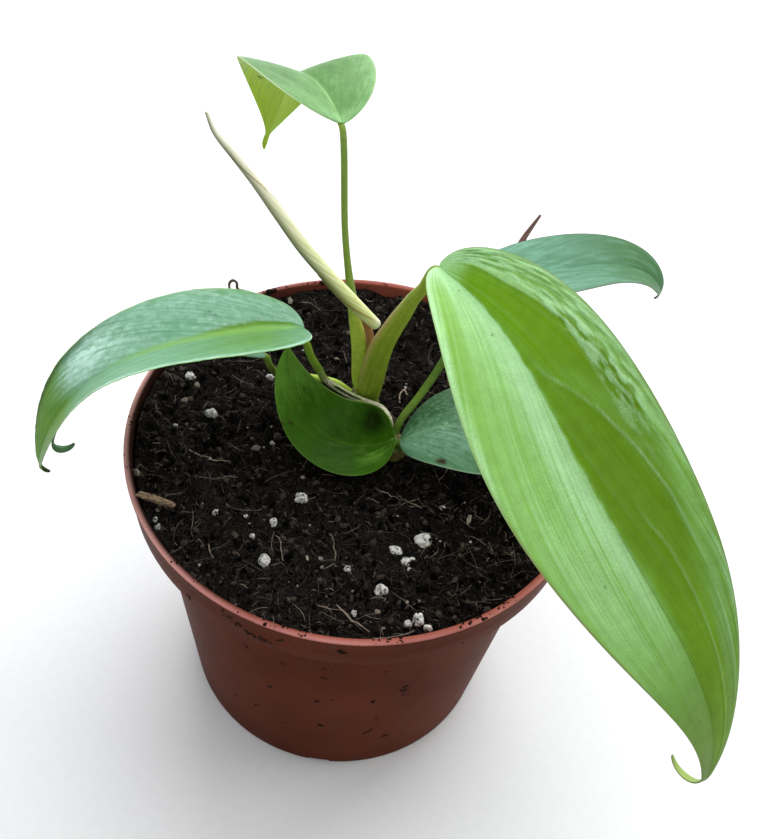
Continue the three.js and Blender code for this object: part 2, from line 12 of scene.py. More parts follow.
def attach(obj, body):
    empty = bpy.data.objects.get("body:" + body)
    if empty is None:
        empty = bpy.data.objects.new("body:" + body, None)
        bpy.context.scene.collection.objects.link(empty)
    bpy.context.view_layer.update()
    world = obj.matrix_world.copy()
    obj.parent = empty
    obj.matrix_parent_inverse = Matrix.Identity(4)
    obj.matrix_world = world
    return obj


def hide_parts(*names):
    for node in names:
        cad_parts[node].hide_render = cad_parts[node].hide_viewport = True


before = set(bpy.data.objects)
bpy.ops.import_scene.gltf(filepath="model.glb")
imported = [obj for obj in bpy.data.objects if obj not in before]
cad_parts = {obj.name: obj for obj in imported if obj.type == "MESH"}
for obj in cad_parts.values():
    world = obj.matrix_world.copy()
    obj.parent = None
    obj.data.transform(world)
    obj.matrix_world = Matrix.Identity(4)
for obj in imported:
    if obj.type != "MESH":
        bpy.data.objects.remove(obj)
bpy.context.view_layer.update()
MM = 0.001

# Camera: solved from the pot's rim, collar and base in the photograph
CAMERA_PLACE = (6.7, -212.1, 356.4)
CAMERA_DOWN, CAMERA_ROLL = 49.71, 7.88
FOCAL_PIXELS, PHOTO_HEIGHT, SENSOR = 1300, 839, 36

# Leaves: the same values as the solids, so that each fine blade lies in its solid. Leaf 7 alone is narrower
# and lies further in, to stay hidden under leaf 2. Every path is a list of x, y, z and radius.
USUAL_LEAF = dict(tail=0.04, tail_half_width=0.8, hook_from=0.9, across=52)
LEAVES = {
    "leaf_1_front_right": dict(
        base=[13, 11, 150], length=166.5, width=43.5,
        heading=[-44, -55.5, -41, -28, -50], pitch=[6.5, -17, -33.5, -62.5, -98], roll=[12, 16, 10],
        fold_left=[39.5, 25, 6.5], fold_right=[29.5, 11, -2.5],
        curl_left=[4, 0.5, -5], curl_right=[1.5, -5.5, -10],
        rise=0.72, fall=1.4, lobe=0.012, tail_half_width=1.1, hook=-151, stations=330, across=110,
        stalk=[[0.5, 18.2, 91.9, 2.3], [0.4, 17.6, 95.6, 2.8], [0.9, 17, 102.4, 2.9], [1.6, 16.2, 110, 2.8],
               [2.6, 15.4, 116.8, 2.6], [4.4, 14.5, 123.6, 2.3], [6.7, 13.4, 131.2, 2],
               [8.7, 12.4, 137.7, 1.6], [10.5, 11.8, 141.7, 1.4], [12.8, 11.1, 148.8, 1.2]]),
    "leaf_2_left": dict(
        base=[-16, 3, 131.5], length=90.5, width=33,
        heading=[207, 195, 196, 207, 208], pitch=[13, -9, -29, -58, -86], roll=[6, 8, 0],
        fold_left=[21, 25, 13], fold_right=[14, 15, 12], curl_left=[-6, -2, -5], curl_right=[-9, -6, -5],
        rise=0.5, fall=0.84, lobe=0.017, tail=0.03, hook=-60, hook_from=0.92,
        stations=180, across=64,
        stalk=[[7, 4.6, 93, 1], [6.9, 7, 96.6, 1.1], [4.5, 10.6, 97.3, 1.1], [-0.3, 13.3, 96.4, 1],
               [-4.5, 14.8, 96.4, 1], [-8.1, 16, 97.2, 1], [-11.2, 15.9, 99.8, 1], [-13, 13.4, 106.4, 1],
               [-14.8, 8.6, 116, 1], [-16, 3.7, 126.6, 0.9]]),
    "leaf_3_top": dict(
        base=[-13, 30, 172], length=89.5, width=32.5,
        heading=[117, 116, 110, 117, 136], pitch=[6, -21, -48, -62, -62], roll=[2, 5, 16],
        fold_left=[24, 20, 6], fold_right=[17, 21, 5], curl_left=[-17, -10, -9], curl_right=[-22, -11, -9],
        rise=0.71, fall=1.48, lobe=0, tail=0.03, hook=-25, stations=180, across=64,
        stalk=[[-2.8, 21.4, 92, 1], [-3.6, 22.4, 94.6, 1.2], [-4.2, 24, 105.5, 1.7],
               [-5.1, 24.8, 111.2, 1.7], [-6.9, 26, 120.5, 1.3], [-8.7, 27, 130.2, 0.95],
               [-10.4, 28, 142, 0.85], [-13, 29.6, 171, 0.8]]),
    "leaf_4_right": dict(
        base=[26, 33.5, 128.5], length=59, width=24.5,
        heading=[10, 22, 28, 13, -20], pitch=[0, -3, -8, -22, -76], roll=[0, -4, 7],
        fold_left=[9, 13, 15], fold_right=[9, 18, 8], curl_left=[-11, -7, -3], curl_right=[-11, -5, -7],
        rise=0.48, fall=0.7, lobe=0.039, hook=-60, stations=130,
        stalk=[[8.6, 4, 93.4, 1], [9.6, 6.4, 98.4, 1], [13.6, 11, 104, 1], [17.8, 16.6, 110.3, 1],
               [22.6, 25, 120.5, 0.9], [25.6, 32.8, 127.8, 0.85]]),
    "leaf_5_small": dict(
        base=[10.4, 0.5, 97.4], length=47, width=30.5,
        heading=[11, 0, -8], pitch=[44, 4, -27], roll=[-9, 0, 6],
        fold_left=[5, 1, -1], fold_right=[14, 0, -8], curl_left=[-14, -13, -11], curl_right=[-9, -13, -14],
        rise=0.58, fall=0.74, lobe=0, hook=-20, stations=110,
        stalk=[[9, 2, 89, 1.2], [9.8, 1, 94, 1.2], [10.3, 0.6, 96.8, 1]]),
    "leaf_6_cupped": dict(
        base=[9, -1.5, 100.5], length=49, width=24.5,
        heading=[180, 168, 145, 121, 84], pitch=[-43, -15, 16, 40, 59], roll=[4, 8, 14],
        fold_left=[-6, 6, 22], fold_right=[20, 21, 24], curl_left=[6, 12, 21], curl_right=[19, 18, 17],
        rise=0.36, fall=0.83, lobe=0.002, hook=0, stations=120,
        stalk=[[7.2, 2.4, 89, 1.3], [7.6, 0.2, 95.6, 1.2], [8.8, -1.6, 99.8, 1]]),
    "leaf_7_under": dict(
        base=[-26.5, 8, 115.5], length=79, width=9.4,
        heading=[184, 184.8, 202.7, 215.1, 205.8], pitch=[13, -5.9, -32, -59.6, -86.8], roll=[0, 0, 0],
        fold_left=[17, 32, 25], fold_right=[11, 9, 6], curl_left=[-10, -10, -10], curl_right=[-10, -10, -10],
        rise=0.5, fall=0.9, lobe=0.03, tail=0.06, tail_half_width=1.2, hook=-162, hook_from=0.87,
        stations=130, across=36,
        stalk=[[-4.7, 19.4, 92.3, 1], [-9, 20.4, 94.3, 1], [-17, 20.6, 94.8, 1], [-22.4, 19.4, 96, 1],
               [-24.6, 17.2, 98.8, 0.95], [-25.9, 14, 104.6, 0.9], [-26.6, 9.4, 113, 0.85]]),
}
SPEAR = [[0, 21.6, 117.5, 1.5], [-6, 19, 126.5, 1.8], [-12.4, 15.9, 137.2, 1.8], [-18.5, 12.6, 148.5, 1.7],
         [-24.1, 9.1, 161, 1.5], [-28.8, 5.1, 172.7, 1.2], [-32.8, 0.2, 183.4, 0.9],
         [-35.8, -4.4, 192.4, 0.6], [-36.9, -6.2, 198, 0.35]]
SPEAR_STALK = [[0.6, 21.8, 91.6, 1], [0.2, 22.6, 98, 1.1], [-0.8, 22.6, 109, 1.1], [-1.8, 21.8, 115, 1.1],
               [-3.4, 20.4, 121.5, 1]]
BRACT = [[26, 33, 85, 1], [28, 38, 95, 1.1], [32, 48, 108, 1.1], [35.6, 57.6, 119, 0.9],
         [40, 63.6, 125.4, 0.35]]
DEAD_ROOT = [[-31, 42, 87, 0.4], [-33.6, 44.4, 96, 0.4], [-36.8, 45.6, 98.4, 0.4], [-40.1, 45.9, 99, 0.4],
             [-40.8, 47.2, 100.1, 0.4], [-42, 47.2, 100.6, 0.4], [-42.6, 46, 100.2, 0.4],
             [-42.2, 44.7, 99.5, 0.35]]
CHIP = dict(x=-47.3, y=-26.6, z=95.4, length=10.5, width=3.1, thickness=1.5, turn=6, tilt=26)
STEMS = {
    "stem_main": dict(x=-1.2, y=19.5, half_length=5.4, half_width=5, turn=0, bottom=78, top=93),
    "stem_side": dict(x=8.2, y=3.2, half_length=4.8, half_width=3.8, turn=-50, bottom=79, top=96.4),
}
STEM_PROFILE = [[0.0, 0], [0.45, 0.0], [0.75, 0.3], [1, 0.62], [0.93, 0.8], [0.62, 0.94], [0, 1]]
LARGE_GRAINS = [[-12.4, -18.2, 1.4], [-18.2, -26.4, 1.2], [-18.6, -37.3, 1.3], [12.8, -29.1, 1.5],
                [15.4, -32.2, 1.1], [19.4, -25.2, 1.8], [10.5, -41.7, 1.8], [20.3, -48.6, 1.7],
                [1.7, -37.4, 1], [-45.9, -31.4, 1], [-39.7, 5.5, 1.4], [-26.7, 22.5, 1.2],
                [-47.5, 16.3, 1.1]]
SMALL_GRAINS = [[-22.6, -31.4, 0.74], [-32.8, -25.8, 0.74], [-25.3, -24.8, 0.62], [4.8, -48.6, 0.83],
                [-5.1, -34.1, 0.5], [23.3, -14, 0.76], [-22.7, -0.7, 0.65], [-48.1, 0.2, 0.65],
                [17, -31, 0.7], [22.5, -50, 1], [17.8, -49.6, 0.9], [-47, -29.5, 0.7], [16.6, -33.8, 0.6]]
# Threads that the photograph shows on the soil: places, radius and how light they are
FIBRES = [([[-43.2, -6.9], [-37.4, -8.8], [-32, -8.9]], 0.16, 0.95),
          ([[5.6, -11.1], [12.3, -13.8], [18.3, -15.6]], 0.15, 0.8),
          ([[-3.9, -26.9], [-2, -31.7], [-1.1, -37.1]], 0.17, 0.7),
          ([[0.3, -47.2], [4.5, -50.7], [8.9, -53.3]], 0.26, 0.8),
          ([[35.6, -23], [36.7, -25.2], [35.4, -29]], 0.14, 0.8),
          ([[9.8, -54.8], [15, -53.4], [19.4, -51.6]], 0.25, 0.75),
          ([[10.3, 25.3], [8.9, 22.5], [9, 18.9]], 0.26, 1.0),
          ([[9.6, 24.1], [10.2, 23], [10.9, 22.1]], 0.2, 1.0),
          ([[-16.8, -29], [-15.2, -32.5], [-14.1, -36.7]], 0.16, 0.85),
          ([[-32.7, -35.3], [-31.5, -37.5], [-30.5, -39.4]], 0.15, 0.8),
          ([[-30.9, -22.8], [-26, -23.4], [-21.6, -22.5]], 0.13, 0.7),
          ([[-39.9, -15.8], [-35, -15.2], [-30.8, -13.6]], 0.12, 0.7),
          ([[23.6, -0.7], [23, -3.5], [21.9, -5.7]], 0.15, 0.8),
          ([[-11.9, -2.3], [-13.2, -5.6], [-14.1, -8.7]], 0.14, 0.8)]
POT_OUTER = [[0, 0], [14.6, 0], [15, 0.05], [16.8, 1.8], [35.2, 1.8], [36.8, 0.15], [37.2, 0], [42.6, 0],
             [43.1, 0.15], [43.5, 0.6], [43.65, 1.2], [52.75, 79.5], [53, 81.3], [53.4, 82], [57.6, 83.7],
             [58.2, 83.95], [58.6, 84.5], [59.45, 94.2], [59.6, 94.7], [59.95, 94.85], [60, 95.1],
             [60, 95.7], [59.9, 95.93], [59.7, 96]]
POT_INNER = [[58.5, 96], [58.3, 95.9], [58.2, 95.7], [57.3, 85.4], [57.1, 84.9], [56.6, 84.6], [52.3, 82.9],
             [51.8, 82.4], [51.7, 81.8], [43.2, 4.2], [42.6, 3.5], [42, 3.4], [0, 3.4]]
POT_HEIGHT = 96
# Dirt that the photograph shows: azimuth and height on the wall, azimuth on the lip, and crumbs behind
WALL_SPECKS = [(-123.1, 24.2), (-107.9, 46.6), (-113.1, 28.3), (-103.3, 24.5), (-90.4, 68.5), (-91, 62.5),
               (-75, 47.8), (-72.5, 34.7), (-74.6, 24.5), (-66.3, 54.9), (-64.6, 48.5), (-66.7, 18.9),
               (-92.5, 46.3), (-91, 29.1), (-73.1, 67), (-86.6, 91.1), (-103.4, 65.2), (-114.9, 65.9),
               (-66.5, 52.5), (-65.6, 50.8), (-74, 26), (-115.2, 92.9), (-113.7, 91.6), (-111.6, 90.1),
               (-109.6, 87.9), (-107.3, 88), (-105.5, 87.9), (-104, 87.6), (-126.7, 86.2), (-100.8, 90.5),
               (-114.5, 91), (-112.6, 89.4), (-106.4, 86.8)]
LIP_SPECKS = [-96.7, -95.3, -79.5, -77, -75.2, -59.3, -57.5, -55.4, -52, -49.2, -46.8, -44.6, -131, -125,
              118, 121, 124]
LIP_CLODS = [(-31, 49.6), (-31.9, 49), (-30.2, 50.1), (-17.5, 55.8)]

FLOOR_RADIUS, FLOOR_SIDES, FLOOR_GREY = 2.6, 96, 0.93
SKY, SKY_STRENGTH = (0.93, 0.96, 1, 1), 0.5
# Name, place, what it aims at, size, power in watts and colour
LIGHTS = [("window", (150, 620, 520), (0, 0, 110), (1000, 620), 6.5, (0.96, 0.98, 1)),
          ("side", (760, 120, 420), (0, 0, 110), (420, 420), 1.5, (1, 0.99, 0.96)),
          ("overhead", (-120, 80, 800), (0, 0, 90), (600, 600), 2.4, (1, 1, 1)),
          ("fill", (-120, -760, 420), (0, 0, 90), (500, 500), 0.3, (1, 0.98, 0.95))]


# Camera and studio
def place_camera():
    down, roll = math.radians(CAMERA_DOWN), math.radians(CAMERA_ROLL)
    forward = Vector((0, math.cos(down), -math.sin(down)))
    right = Vector((1, 0, 0))
    up = right.cross(forward)
    turned_right = right * math.cos(roll) + up * math.sin(roll)
    turned_up = up * math.cos(roll) - right * math.sin(roll)
    data = bpy.data.cameras.new("photo_camera")
    data.sensor_width = SENSOR
    data.lens = FOCAL_PIXELS * SENSOR / PHOTO_HEIGHT
    data.clip_start = 0.01
    camera = bpy.data.objects.new("photo_camera", data)
    bpy.context.scene.collection.objects.link(camera)
    place = Matrix((turned_right, turned_up, -forward)).transposed().to_4x4()
    place.translation = Vector(CAMERA_PLACE) * MM
    camera.matrix_world = place
    bpy.context.scene.camera = camera


def make_studio():
    """A white paper floor, a pale sky and four soft lights."""
    scene = bpy.context.scene
    scene.view_settings.view_transform = "Standard"
    scene.view_settings.look = "None"
    s = Shader("floor_paper", roughness=0.9)
    grain = s.noise(s.place(), 0.4, 2)
    paper = s.finish(s.tone((FLOOR_GREY, FLOOR_GREY, FLOOR_GREY), s.vary(grain, 0.99, 1.01)))
    ring = [(FLOOR_RADIUS * math.cos(a), FLOOR_RADIUS * math.sin(a), -0.0002)
            for a in np.linspace(0, 2 * math.pi, FLOOR_SIDES, endpoint=False)]
    mesh = bpy.data.meshes.new("floor")
    mesh.from_pydata(ring, [], [list(range(FLOOR_SIDES))])
    mesh.materials.append(paper)
    floor = bpy.data.objects.new("floor", mesh)
    scene.collection.objects.link(floor)
    world = bpy.data.worlds.new("studio")
    world.use_nodes = True
    background = world.node_tree.nodes["Background"]
    background.inputs["Color"].default_value = SKY
    background.inputs["Strength"].default_value = SKY_STRENGTH
    scene.world = world
    for name, place, aim, size, power, colour in LIGHTS:
        data = bpy.data.lights.new(name, "AREA")
        data.shape = "RECTANGLE"
        data.size, data.size_y = size[0] * MM, size[1] * MM
        data.energy = power
        data.color = colour
        light = bpy.data.objects.new(name, data)
        light.location = Vector(place) * MM
        light.rotation_euler = (Vector(aim) - Vector(place)).to_track_quat("-Z", "Y").to_euler()
        scene.collection.objects.link(light)


# Numbers: smooth curves, steps and repeatable noise
HASH_PRIMES, HASH_SEED = np.array([374761393, 668265263, 1442695041]), 974634777
HASH_MIX, HASH_BITS = 1274126177, 0xFFFFFFFF


def hermite(a, b, slope_a, slope_b, t):
    return ((2 * t**3 - 3 * t**2 + 1) * a + (t**3 - 2 * t**2 + t) * slope_a
            + (3 * t**2 - 2 * t**3) * b + (t**3 - t**2) * slope_b)


def along(knots, u):
    """A smooth curve through evenly spaced knots, at u from 0 to 1."""
    k = np.asarray(knots, float)
    x = np.clip(u, 0, 1) * (len(k) - 1)
    i = np.minimum(x.astype(int), len(k) - 2)
    padded = np.concatenate([[2 * k[0] - k[1]], k, [2 * k[-1] - k[-2]]])
    before, a, b, after = padded[i], padded[i + 1], padded[i + 2], padded[i + 3]
    return hermite(a, b, (b - before) / 2, (after - a) / 2, x - i)


def step(low, high, x):
    """0 up to low and 1 from high, smooth between. With low above high it falls in place of rising."""
    t = np.clip((x - low) / (high - low), 0, 1)
    return t * t * (3 - 2 * t)


def window(x, start, full, fade, end):
    """1 from full to fade, and 0 before start and after end."""
    return step(start, full, x) * step(end, fade, x)


def hill(x, centre, width):
    return np.exp(-(((x - centre) / width) ** 2))


def lattice(p, seed):
    """Smooth noise from 0 to 1 with features about one unit across, from hashed whole-number places."""
    cell = np.floor(p).astype(np.int64)
    f = p - cell
    f = f * f * (3 - 2 * f)
    total = 0
    for corner in np.ndindex(2, 2, 2):
        n = (((cell + corner) * HASH_PRIMES).sum(-1) + seed * HASH_SEED) & HASH_BITS
        n = ((n ^ (n >> 13)) * HASH_MIX) & HASH_BITS
        value = ((n ^ (n >> 16)) & 0xFFFF) / 0xFFFF
        total = total + np.abs(1 - np.array(corner) - f).prod(-1) * value
    return total


def fractal(p, octaves=3, seed=0):
    total, size = 0, 0
    for k in range(octaves):
        total = total + lattice(p * 2**k + 17.3 * k, seed + k) * 0.5**k
        size += 0.5**k
    return total / size


def noise_at(x, y, octaves, seed, z=0):
    return fractal(np.stack([x, y, 0 * x + z], -1), octaves, seed)


def polar(radius, angle):
    return radius * np.cos(angle), radius * np.sin(angle)


def turned(points, degrees, first, second):
    """Points turned by an angle, from one axis towards a second."""
    a = math.radians(degrees)
    out = points.copy()
    out[..., first] = points[..., first] * math.cos(a) - points[..., second] * math.sin(a)
    out[..., second] = points[..., first] * math.sin(a) + points[..., second] * math.cos(a)
    return out


# Materials
def srgb(r, g, b):
    """A colour given in screen values from 0 to 255."""
    def linear(c):
        c /= 255
        return c / 12.92 if c <= 0.04045 else ((c + 0.055) / 1.055) ** 2.4
    return (linear(r), linear(g), linear(b), 1)


class Shader:
    """One material and short calls that add nodes to it."""

    def __init__(self, name, roughness=0.5, **settings):
        self.material = bpy.data.materials.new(name)
        self.material.use_nodes = True
        self.tree = self.material.node_tree
        self.bsdf = self.tree.nodes["Principled BSDF"]
        self.put(self.bsdf, "Roughness", roughness)
        for socket, value in settings.items():
            self.put(self.bsdf, socket.replace("_", " "), value)

    def put(self, node, socket, value):
        target = node.inputs[socket]
        if isinstance(value, bpy.types.NodeSocket):
            self.tree.links.new(value, target)
        else:
            target.default_value = value

    def node(self, kind, inputs=(), **settings):
        made = self.tree.nodes.new(kind)
        for key, value in settings.items():
            setattr(made, key, value)
        for socket, value in dict(inputs).items():
            self.put(made, socket, value)
        return made

    def attribute(self, name):
        return self.node("ShaderNodeAttribute", attribute_name=name).outputs["Fac"]

    def place(self):
        """The point's place in millimetres."""
        point = self.node("ShaderNodeTexCoord").outputs["Object"]
        return self.node("ShaderNodeVectorMath", {0: point, "Scale": 1000}, operation="SCALE").outputs[0]

    def vector(self, x, y, z=0.0):
        return self.node("ShaderNodeCombineXYZ", {0: x, 1: y, 2: z}).outputs[0]

    def axis(self, vector, index):
        return self.node("ShaderNodeSeparateXYZ", {0: vector}).outputs[index]

    def stretch(self, vector, x, y, z):
        return self.node("ShaderNodeVectorMath", {0: vector, 1: (x, y, z)}, operation="MULTIPLY").outputs[0]

    def noise(self, vector, scale, detail=2, roughness=0.5):
        return self.node("ShaderNodeTexNoise", {"Vector": vector, "Scale": scale, "Detail": detail,
                                                "Roughness": roughness}).outputs[0]

    def streaks(self, lengthwise, sideways, along, across, shift=0, detail=3, roughness=0.6):
        """Noise drawn out along a leaf or a stalk, along and across being its scales."""
        place = self.vector(self.mul(lengthwise, along), self.mul(sideways, across), shift)
        return self.noise(place, 1, detail, roughness)

    def cells(self, vector, scale):
        return self.node("ShaderNodeTexVoronoi", {"Vector": vector, "Scale": scale}).outputs[0]

    def math(self, operation, a, b=0.0, clamp=False):
        return self.node("ShaderNodeMath", {0: a, 1: b}, operation=operation, use_clamp=clamp).outputs[0]

    def mul(self, a, b):
        return self.math("MULTIPLY", a, b)

    def add(self, a, b):
        return self.math("ADD", a, b)

    def clamp(self, value):
        return self.math("MULTIPLY", value, 1.0, clamp=True)

    def span(self, value, low, high, out_low=0.0, out_high=1.0):
        """The value mapped from low and high to out_low and out_high, and held beyond them."""
        return self.node("ShaderNodeMapRange", {"Value": value, "From Min": low, "From Max": high,
                                                "To Min": out_low, "To Max": out_high}).outputs[0]

    def vary(self, noise, low, high):
        """Noise as a number from about low to high."""
        return self.span(noise, 0.3, 0.7, low, high)

    def mix(self, factor, a, b):
        """Colour a where the factor is 0 and b where it is 1. The numbers are the colour sockets' own."""
        return self.node("ShaderNodeMix", {0: factor, 6: a, 7: b}, data_type="RGBA").outputs[2]

    def tone(self, colour, value):
        """The colour made lighter or darker by value, 1 leaving it as it is."""
        colour = colour[:3] if isinstance(colour, tuple) else colour
        return self.node("ShaderNodeVectorMath", {0: colour, "Scale": value}, operation="SCALE").outputs[0]

    def bump(self, height, distance, normal=None):
        made = self.node("ShaderNodeBump", {"Height": height, "Distance": distance * MM, "Strength": 1.0})
        if normal is not None:
            self.put(made, "Normal", normal)
        return made.outputs[0]

    def finish(self, colour, normal=None, roughness=None):
        self.put(self.bsdf, "Base Color", colour)
        if normal is not None:
            self.put(self.bsdf, "Normal", normal)
        if roughness is not None:
            self.put(self.bsdf, "Roughness", roughness)
        return self.material

    def two_tone(self, pattern, low, high, first, second, depth):
        """A material that goes from one colour to a second with the pattern, which also raises it."""
        return self.finish(self.mix(self.span(pattern, low, high), first, second), self.bump(pattern, depth))


# Meshes
def piece(name, points, faces, material, node, values=None, smooth=True):
    """A mesh that rides on the part, from points in mm. values are numbers kept on each point."""
    mesh = bpy.data.meshes.new(name)
    mesh.from_pydata((np.asarray(points, float) * MM).tolist(), [], [list(map(int, f)) for f in faces])
    mesh.validate()
    mesh.polygons.foreach_set("use_smooth", [smooth] * len(mesh.polygons))
    for key, numbers in (values or {}).items():
        layer = mesh.attributes.new(key, "FLOAT", "POINT")
        layer.data.foreach_set("value", np.asarray(numbers, np.float32).ravel())
    mesh.materials.append(material)
    obj = bpy.data.objects.new(name, mesh)
    bpy.context.scene.collection.objects.link(obj)
    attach(obj, "root")
    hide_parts(node)
    return obj


def grid_faces(rows, columns, closed=False, start=0):
    """Quads over a grid of points, with its last column joined to its first if closed."""
    i, k = np.meshgrid(np.arange(rows - 1), np.arange(columns if closed else columns - 1), indexing="ij")
    a = start + i * columns + k
    b = start + i * columns + (k + 1) % columns
    return np.stack([a, b, b + columns, a + columns], -1).reshape(-1, 4)


def border(rows, columns):
    """The points round the edge of a grid, in order."""
    last = (rows - 1) * columns
    return np.concatenate([np.arange(columns), np.arange(1, rows) * columns + columns - 1,
                           last + np.arange(columns - 2, -1, -1), np.arange(rows - 2, 0, -1) * columns])


def end_caps(rows, columns):
    """Flat faces that close a closed grid at its first and its last row."""
    return [list(range(columns))[::-1], list(range((rows - 1) * columns, rows * columns))]


def merge(parts):
    """Points, faces and values of many small meshes as one."""
    points, faces, values, start = [], [], {}, 0
    for part_points, part_faces, part_values in parts:
        points.append(part_points)
        faces.extend([int(i) + start for i in face] for face in part_faces)
        for key, numbers in part_values.items():
            values.setdefault(key, []).append(np.broadcast_to(numbers, len(part_points)))
        start += len(part_points)
    return np.concatenate(points), faces, {key: np.concatenate(v) for key, v in values.items()}


def curve_through(points, steps):
    """A smooth curve through points of any dimension, denser where they lie close."""
    p = np.asarray(points, float)
    chord = np.concatenate([[0], np.cumsum(np.linalg.norm(np.diff(p[:, :3], axis=0), axis=1) ** 0.5)])
    t = np.linspace(0, chord[-1], steps)
    i = np.clip(np.searchsorted(chord, t, side="right") - 1, 0, len(p) - 2)
    slopes = np.gradient(p, chord, axis=0)
    gap = (chord[i + 1] - chord[i])[:, None]
    return hermite(p[i], p[i + 1], gap * slopes[i], gap * slopes[i + 1], (t - chord[i])[:, None] / gap)


def tube(path, steps, sides, section=None):
    """A tapered tube with closed ends, whose radius section(t, angle) scales.

    Returns its points and faces, t along it and the angle round it for each point, and the way outwards.
    """
    c = curve_through(path, steps)
    centre, radius = c[:, :3], c[:, 3]
    forward = np.gradient(centre, axis=0)
    forward /= np.linalg.norm(forward, axis=1)[:, None]
    side = np.zeros_like(centre)
    last = np.array([1.0, 0, 0])
    for i, f in enumerate(forward):
        last = last - f * last.dot(f)
        last /= np.linalg.norm(last)
        side[i] = last
    up = np.cross(forward, side)
    t = np.linspace(0, 1, steps)[:, None]
    angle = np.linspace(0, 2 * np.pi, sides, endpoint=False)[None, :]
    r = radius[:, None] * (section(t, angle) if section else np.ones((1, sides)))
    away = side[:, None] * np.cos(angle)[..., None] + up[:, None] * np.sin(angle)[..., None]
    ring = centre[:, None] + away * r[..., None]
    points = np.concatenate([ring.reshape(-1, 3), centre[:1], centre[-1:]])
    faces = grid_faces(steps, sides, closed=True).tolist()
    first, second, base = steps * sides, steps * sides + 1, (steps - 1) * sides
    for k in range(sides):
        faces.append([first, (k + 1) % sides, k])
        faces.append([second, base + k, base + (k + 1) % sides])
    values = dict(t=np.concatenate([np.repeat(t[:, 0], sides), [0, 1]]),
                  angle=np.concatenate([np.tile(angle[0], steps), [0, 0]]))
    out = np.concatenate([away.reshape(-1, 3), -forward[:1], forward[-1:]])
    return points, faces, values, out


# Blades
RIB_STEPS = 6000
# Steps that measure the surface's slope, and the least curl in radians
NUDGE, FLAT = 1e-3, 1e-4
# Where a blade starts and ends, and how much its columns crowd towards the margins
BLADE_ENDS, SPREAD = (0.003, 0.9975), 1.2
# Half thicknesses in mm: the blade, what its margin keeps and the keel under the midrib
SKIN, EDGE_SKIN, RIB_SKIN = 0.2, 0.05, 0.22


def blade_surface(leaf, u, v):
    """Points and upward normals of a blade at u along its midrib and v across, -1 right to 1 left."""
    s = np.linspace(0, 1, RIB_STEPS + 1)
    bend = np.maximum(0, (s - leaf["hook_from"]) / (1 - leaf["hook_from"])) ** 1.5
    heading, roll = np.radians(along(leaf["heading"], s)), np.radians(along(leaf["roll"], s))
    pitch = np.radians(along(leaf["pitch"], s) + leaf["hook"] * bend)
    forward = np.stack([np.cos(pitch) * np.cos(heading), np.cos(pitch) * np.sin(heading), np.sin(pitch)], 1)
    level = np.stack([-np.sin(heading), np.cos(heading), 0 * heading], 1)
    upright = np.cross(forward, level)
    left = level * np.cos(roll)[:, None] + upright * np.sin(roll)[:, None]
    normal = upright * np.cos(roll)[:, None] - level * np.sin(roll)[:, None]
    steps = np.cumsum((forward[1:] + forward[:-1]) / 2, axis=0) * leaf["length"] / RIB_STEPS
    rib = np.array(leaf["base"], float) + np.concatenate([np.zeros((1, 3)), steps])

    def half_width(u):
        q = np.clip(u / (1 - leaf["tail"]), 0, 1)
        peak = leaf["rise"] / (leaf["rise"] + leaf["fall"])
        width = (leaf["width"] / 2 * q ** leaf["rise"] * (1 - q) ** leaf["fall"]
                 / (peak ** leaf["rise"] * (1 - peak) ** leaf["fall"]))
        tip = leaf["tail_half_width"] * np.sqrt(np.clip((1 - u) / leaf["tail"], 0, 1))
        return np.where(u > 0.5, np.maximum(width, tip), width)

    def bend_across(kind, u, v):
        return np.radians(np.where(v < 0, along(leaf[kind + "_right"], u), along(leaf[kind + "_left"], u)))

    def point(u, v):
        away, width = np.abs(v), half_width(u)
        s = u - leaf["lobe"] * away**2 * (u / 0.05) * np.exp(1 - u / 0.05)
        fold, curl = bend_across("fold", u, v), bend_across("curl", u, v)
        curl = np.where(np.abs(curl) < FLAT, FLAT, curl)
        sideways = (np.sin(fold + curl * away) - np.sin(fold)) / curl * width * np.sign(v)
        lift = (np.cos(fold) - np.cos(fold + curl * away)) / curl * width
        x = np.clip(s, 0, 1) * RIB_STEPS
        i = np.minimum(x.astype(int), RIB_STEPS - 1)
        t = (x - i)[..., None]

        def at(values):
            return values[i] * (1 - t) + values[i + 1] * t
        return (at(rib) + np.minimum(s, 0)[..., None] * leaf["length"] * forward[0]
                + at(left) * sideways[..., None] + at(normal) * lift[..., None])

    inner = v - np.sign(v) * NUDGE
    lengthwise = point(u + NUDGE, v) - point(u - NUDGE, v)
    crosswise = point(u, inner + NUDGE) - point(u, inner - NUDGE)
    face = np.cross(lengthwise, crosswise)
    return point(u, v), face / np.linalg.norm(face, axis=-1)[..., None]


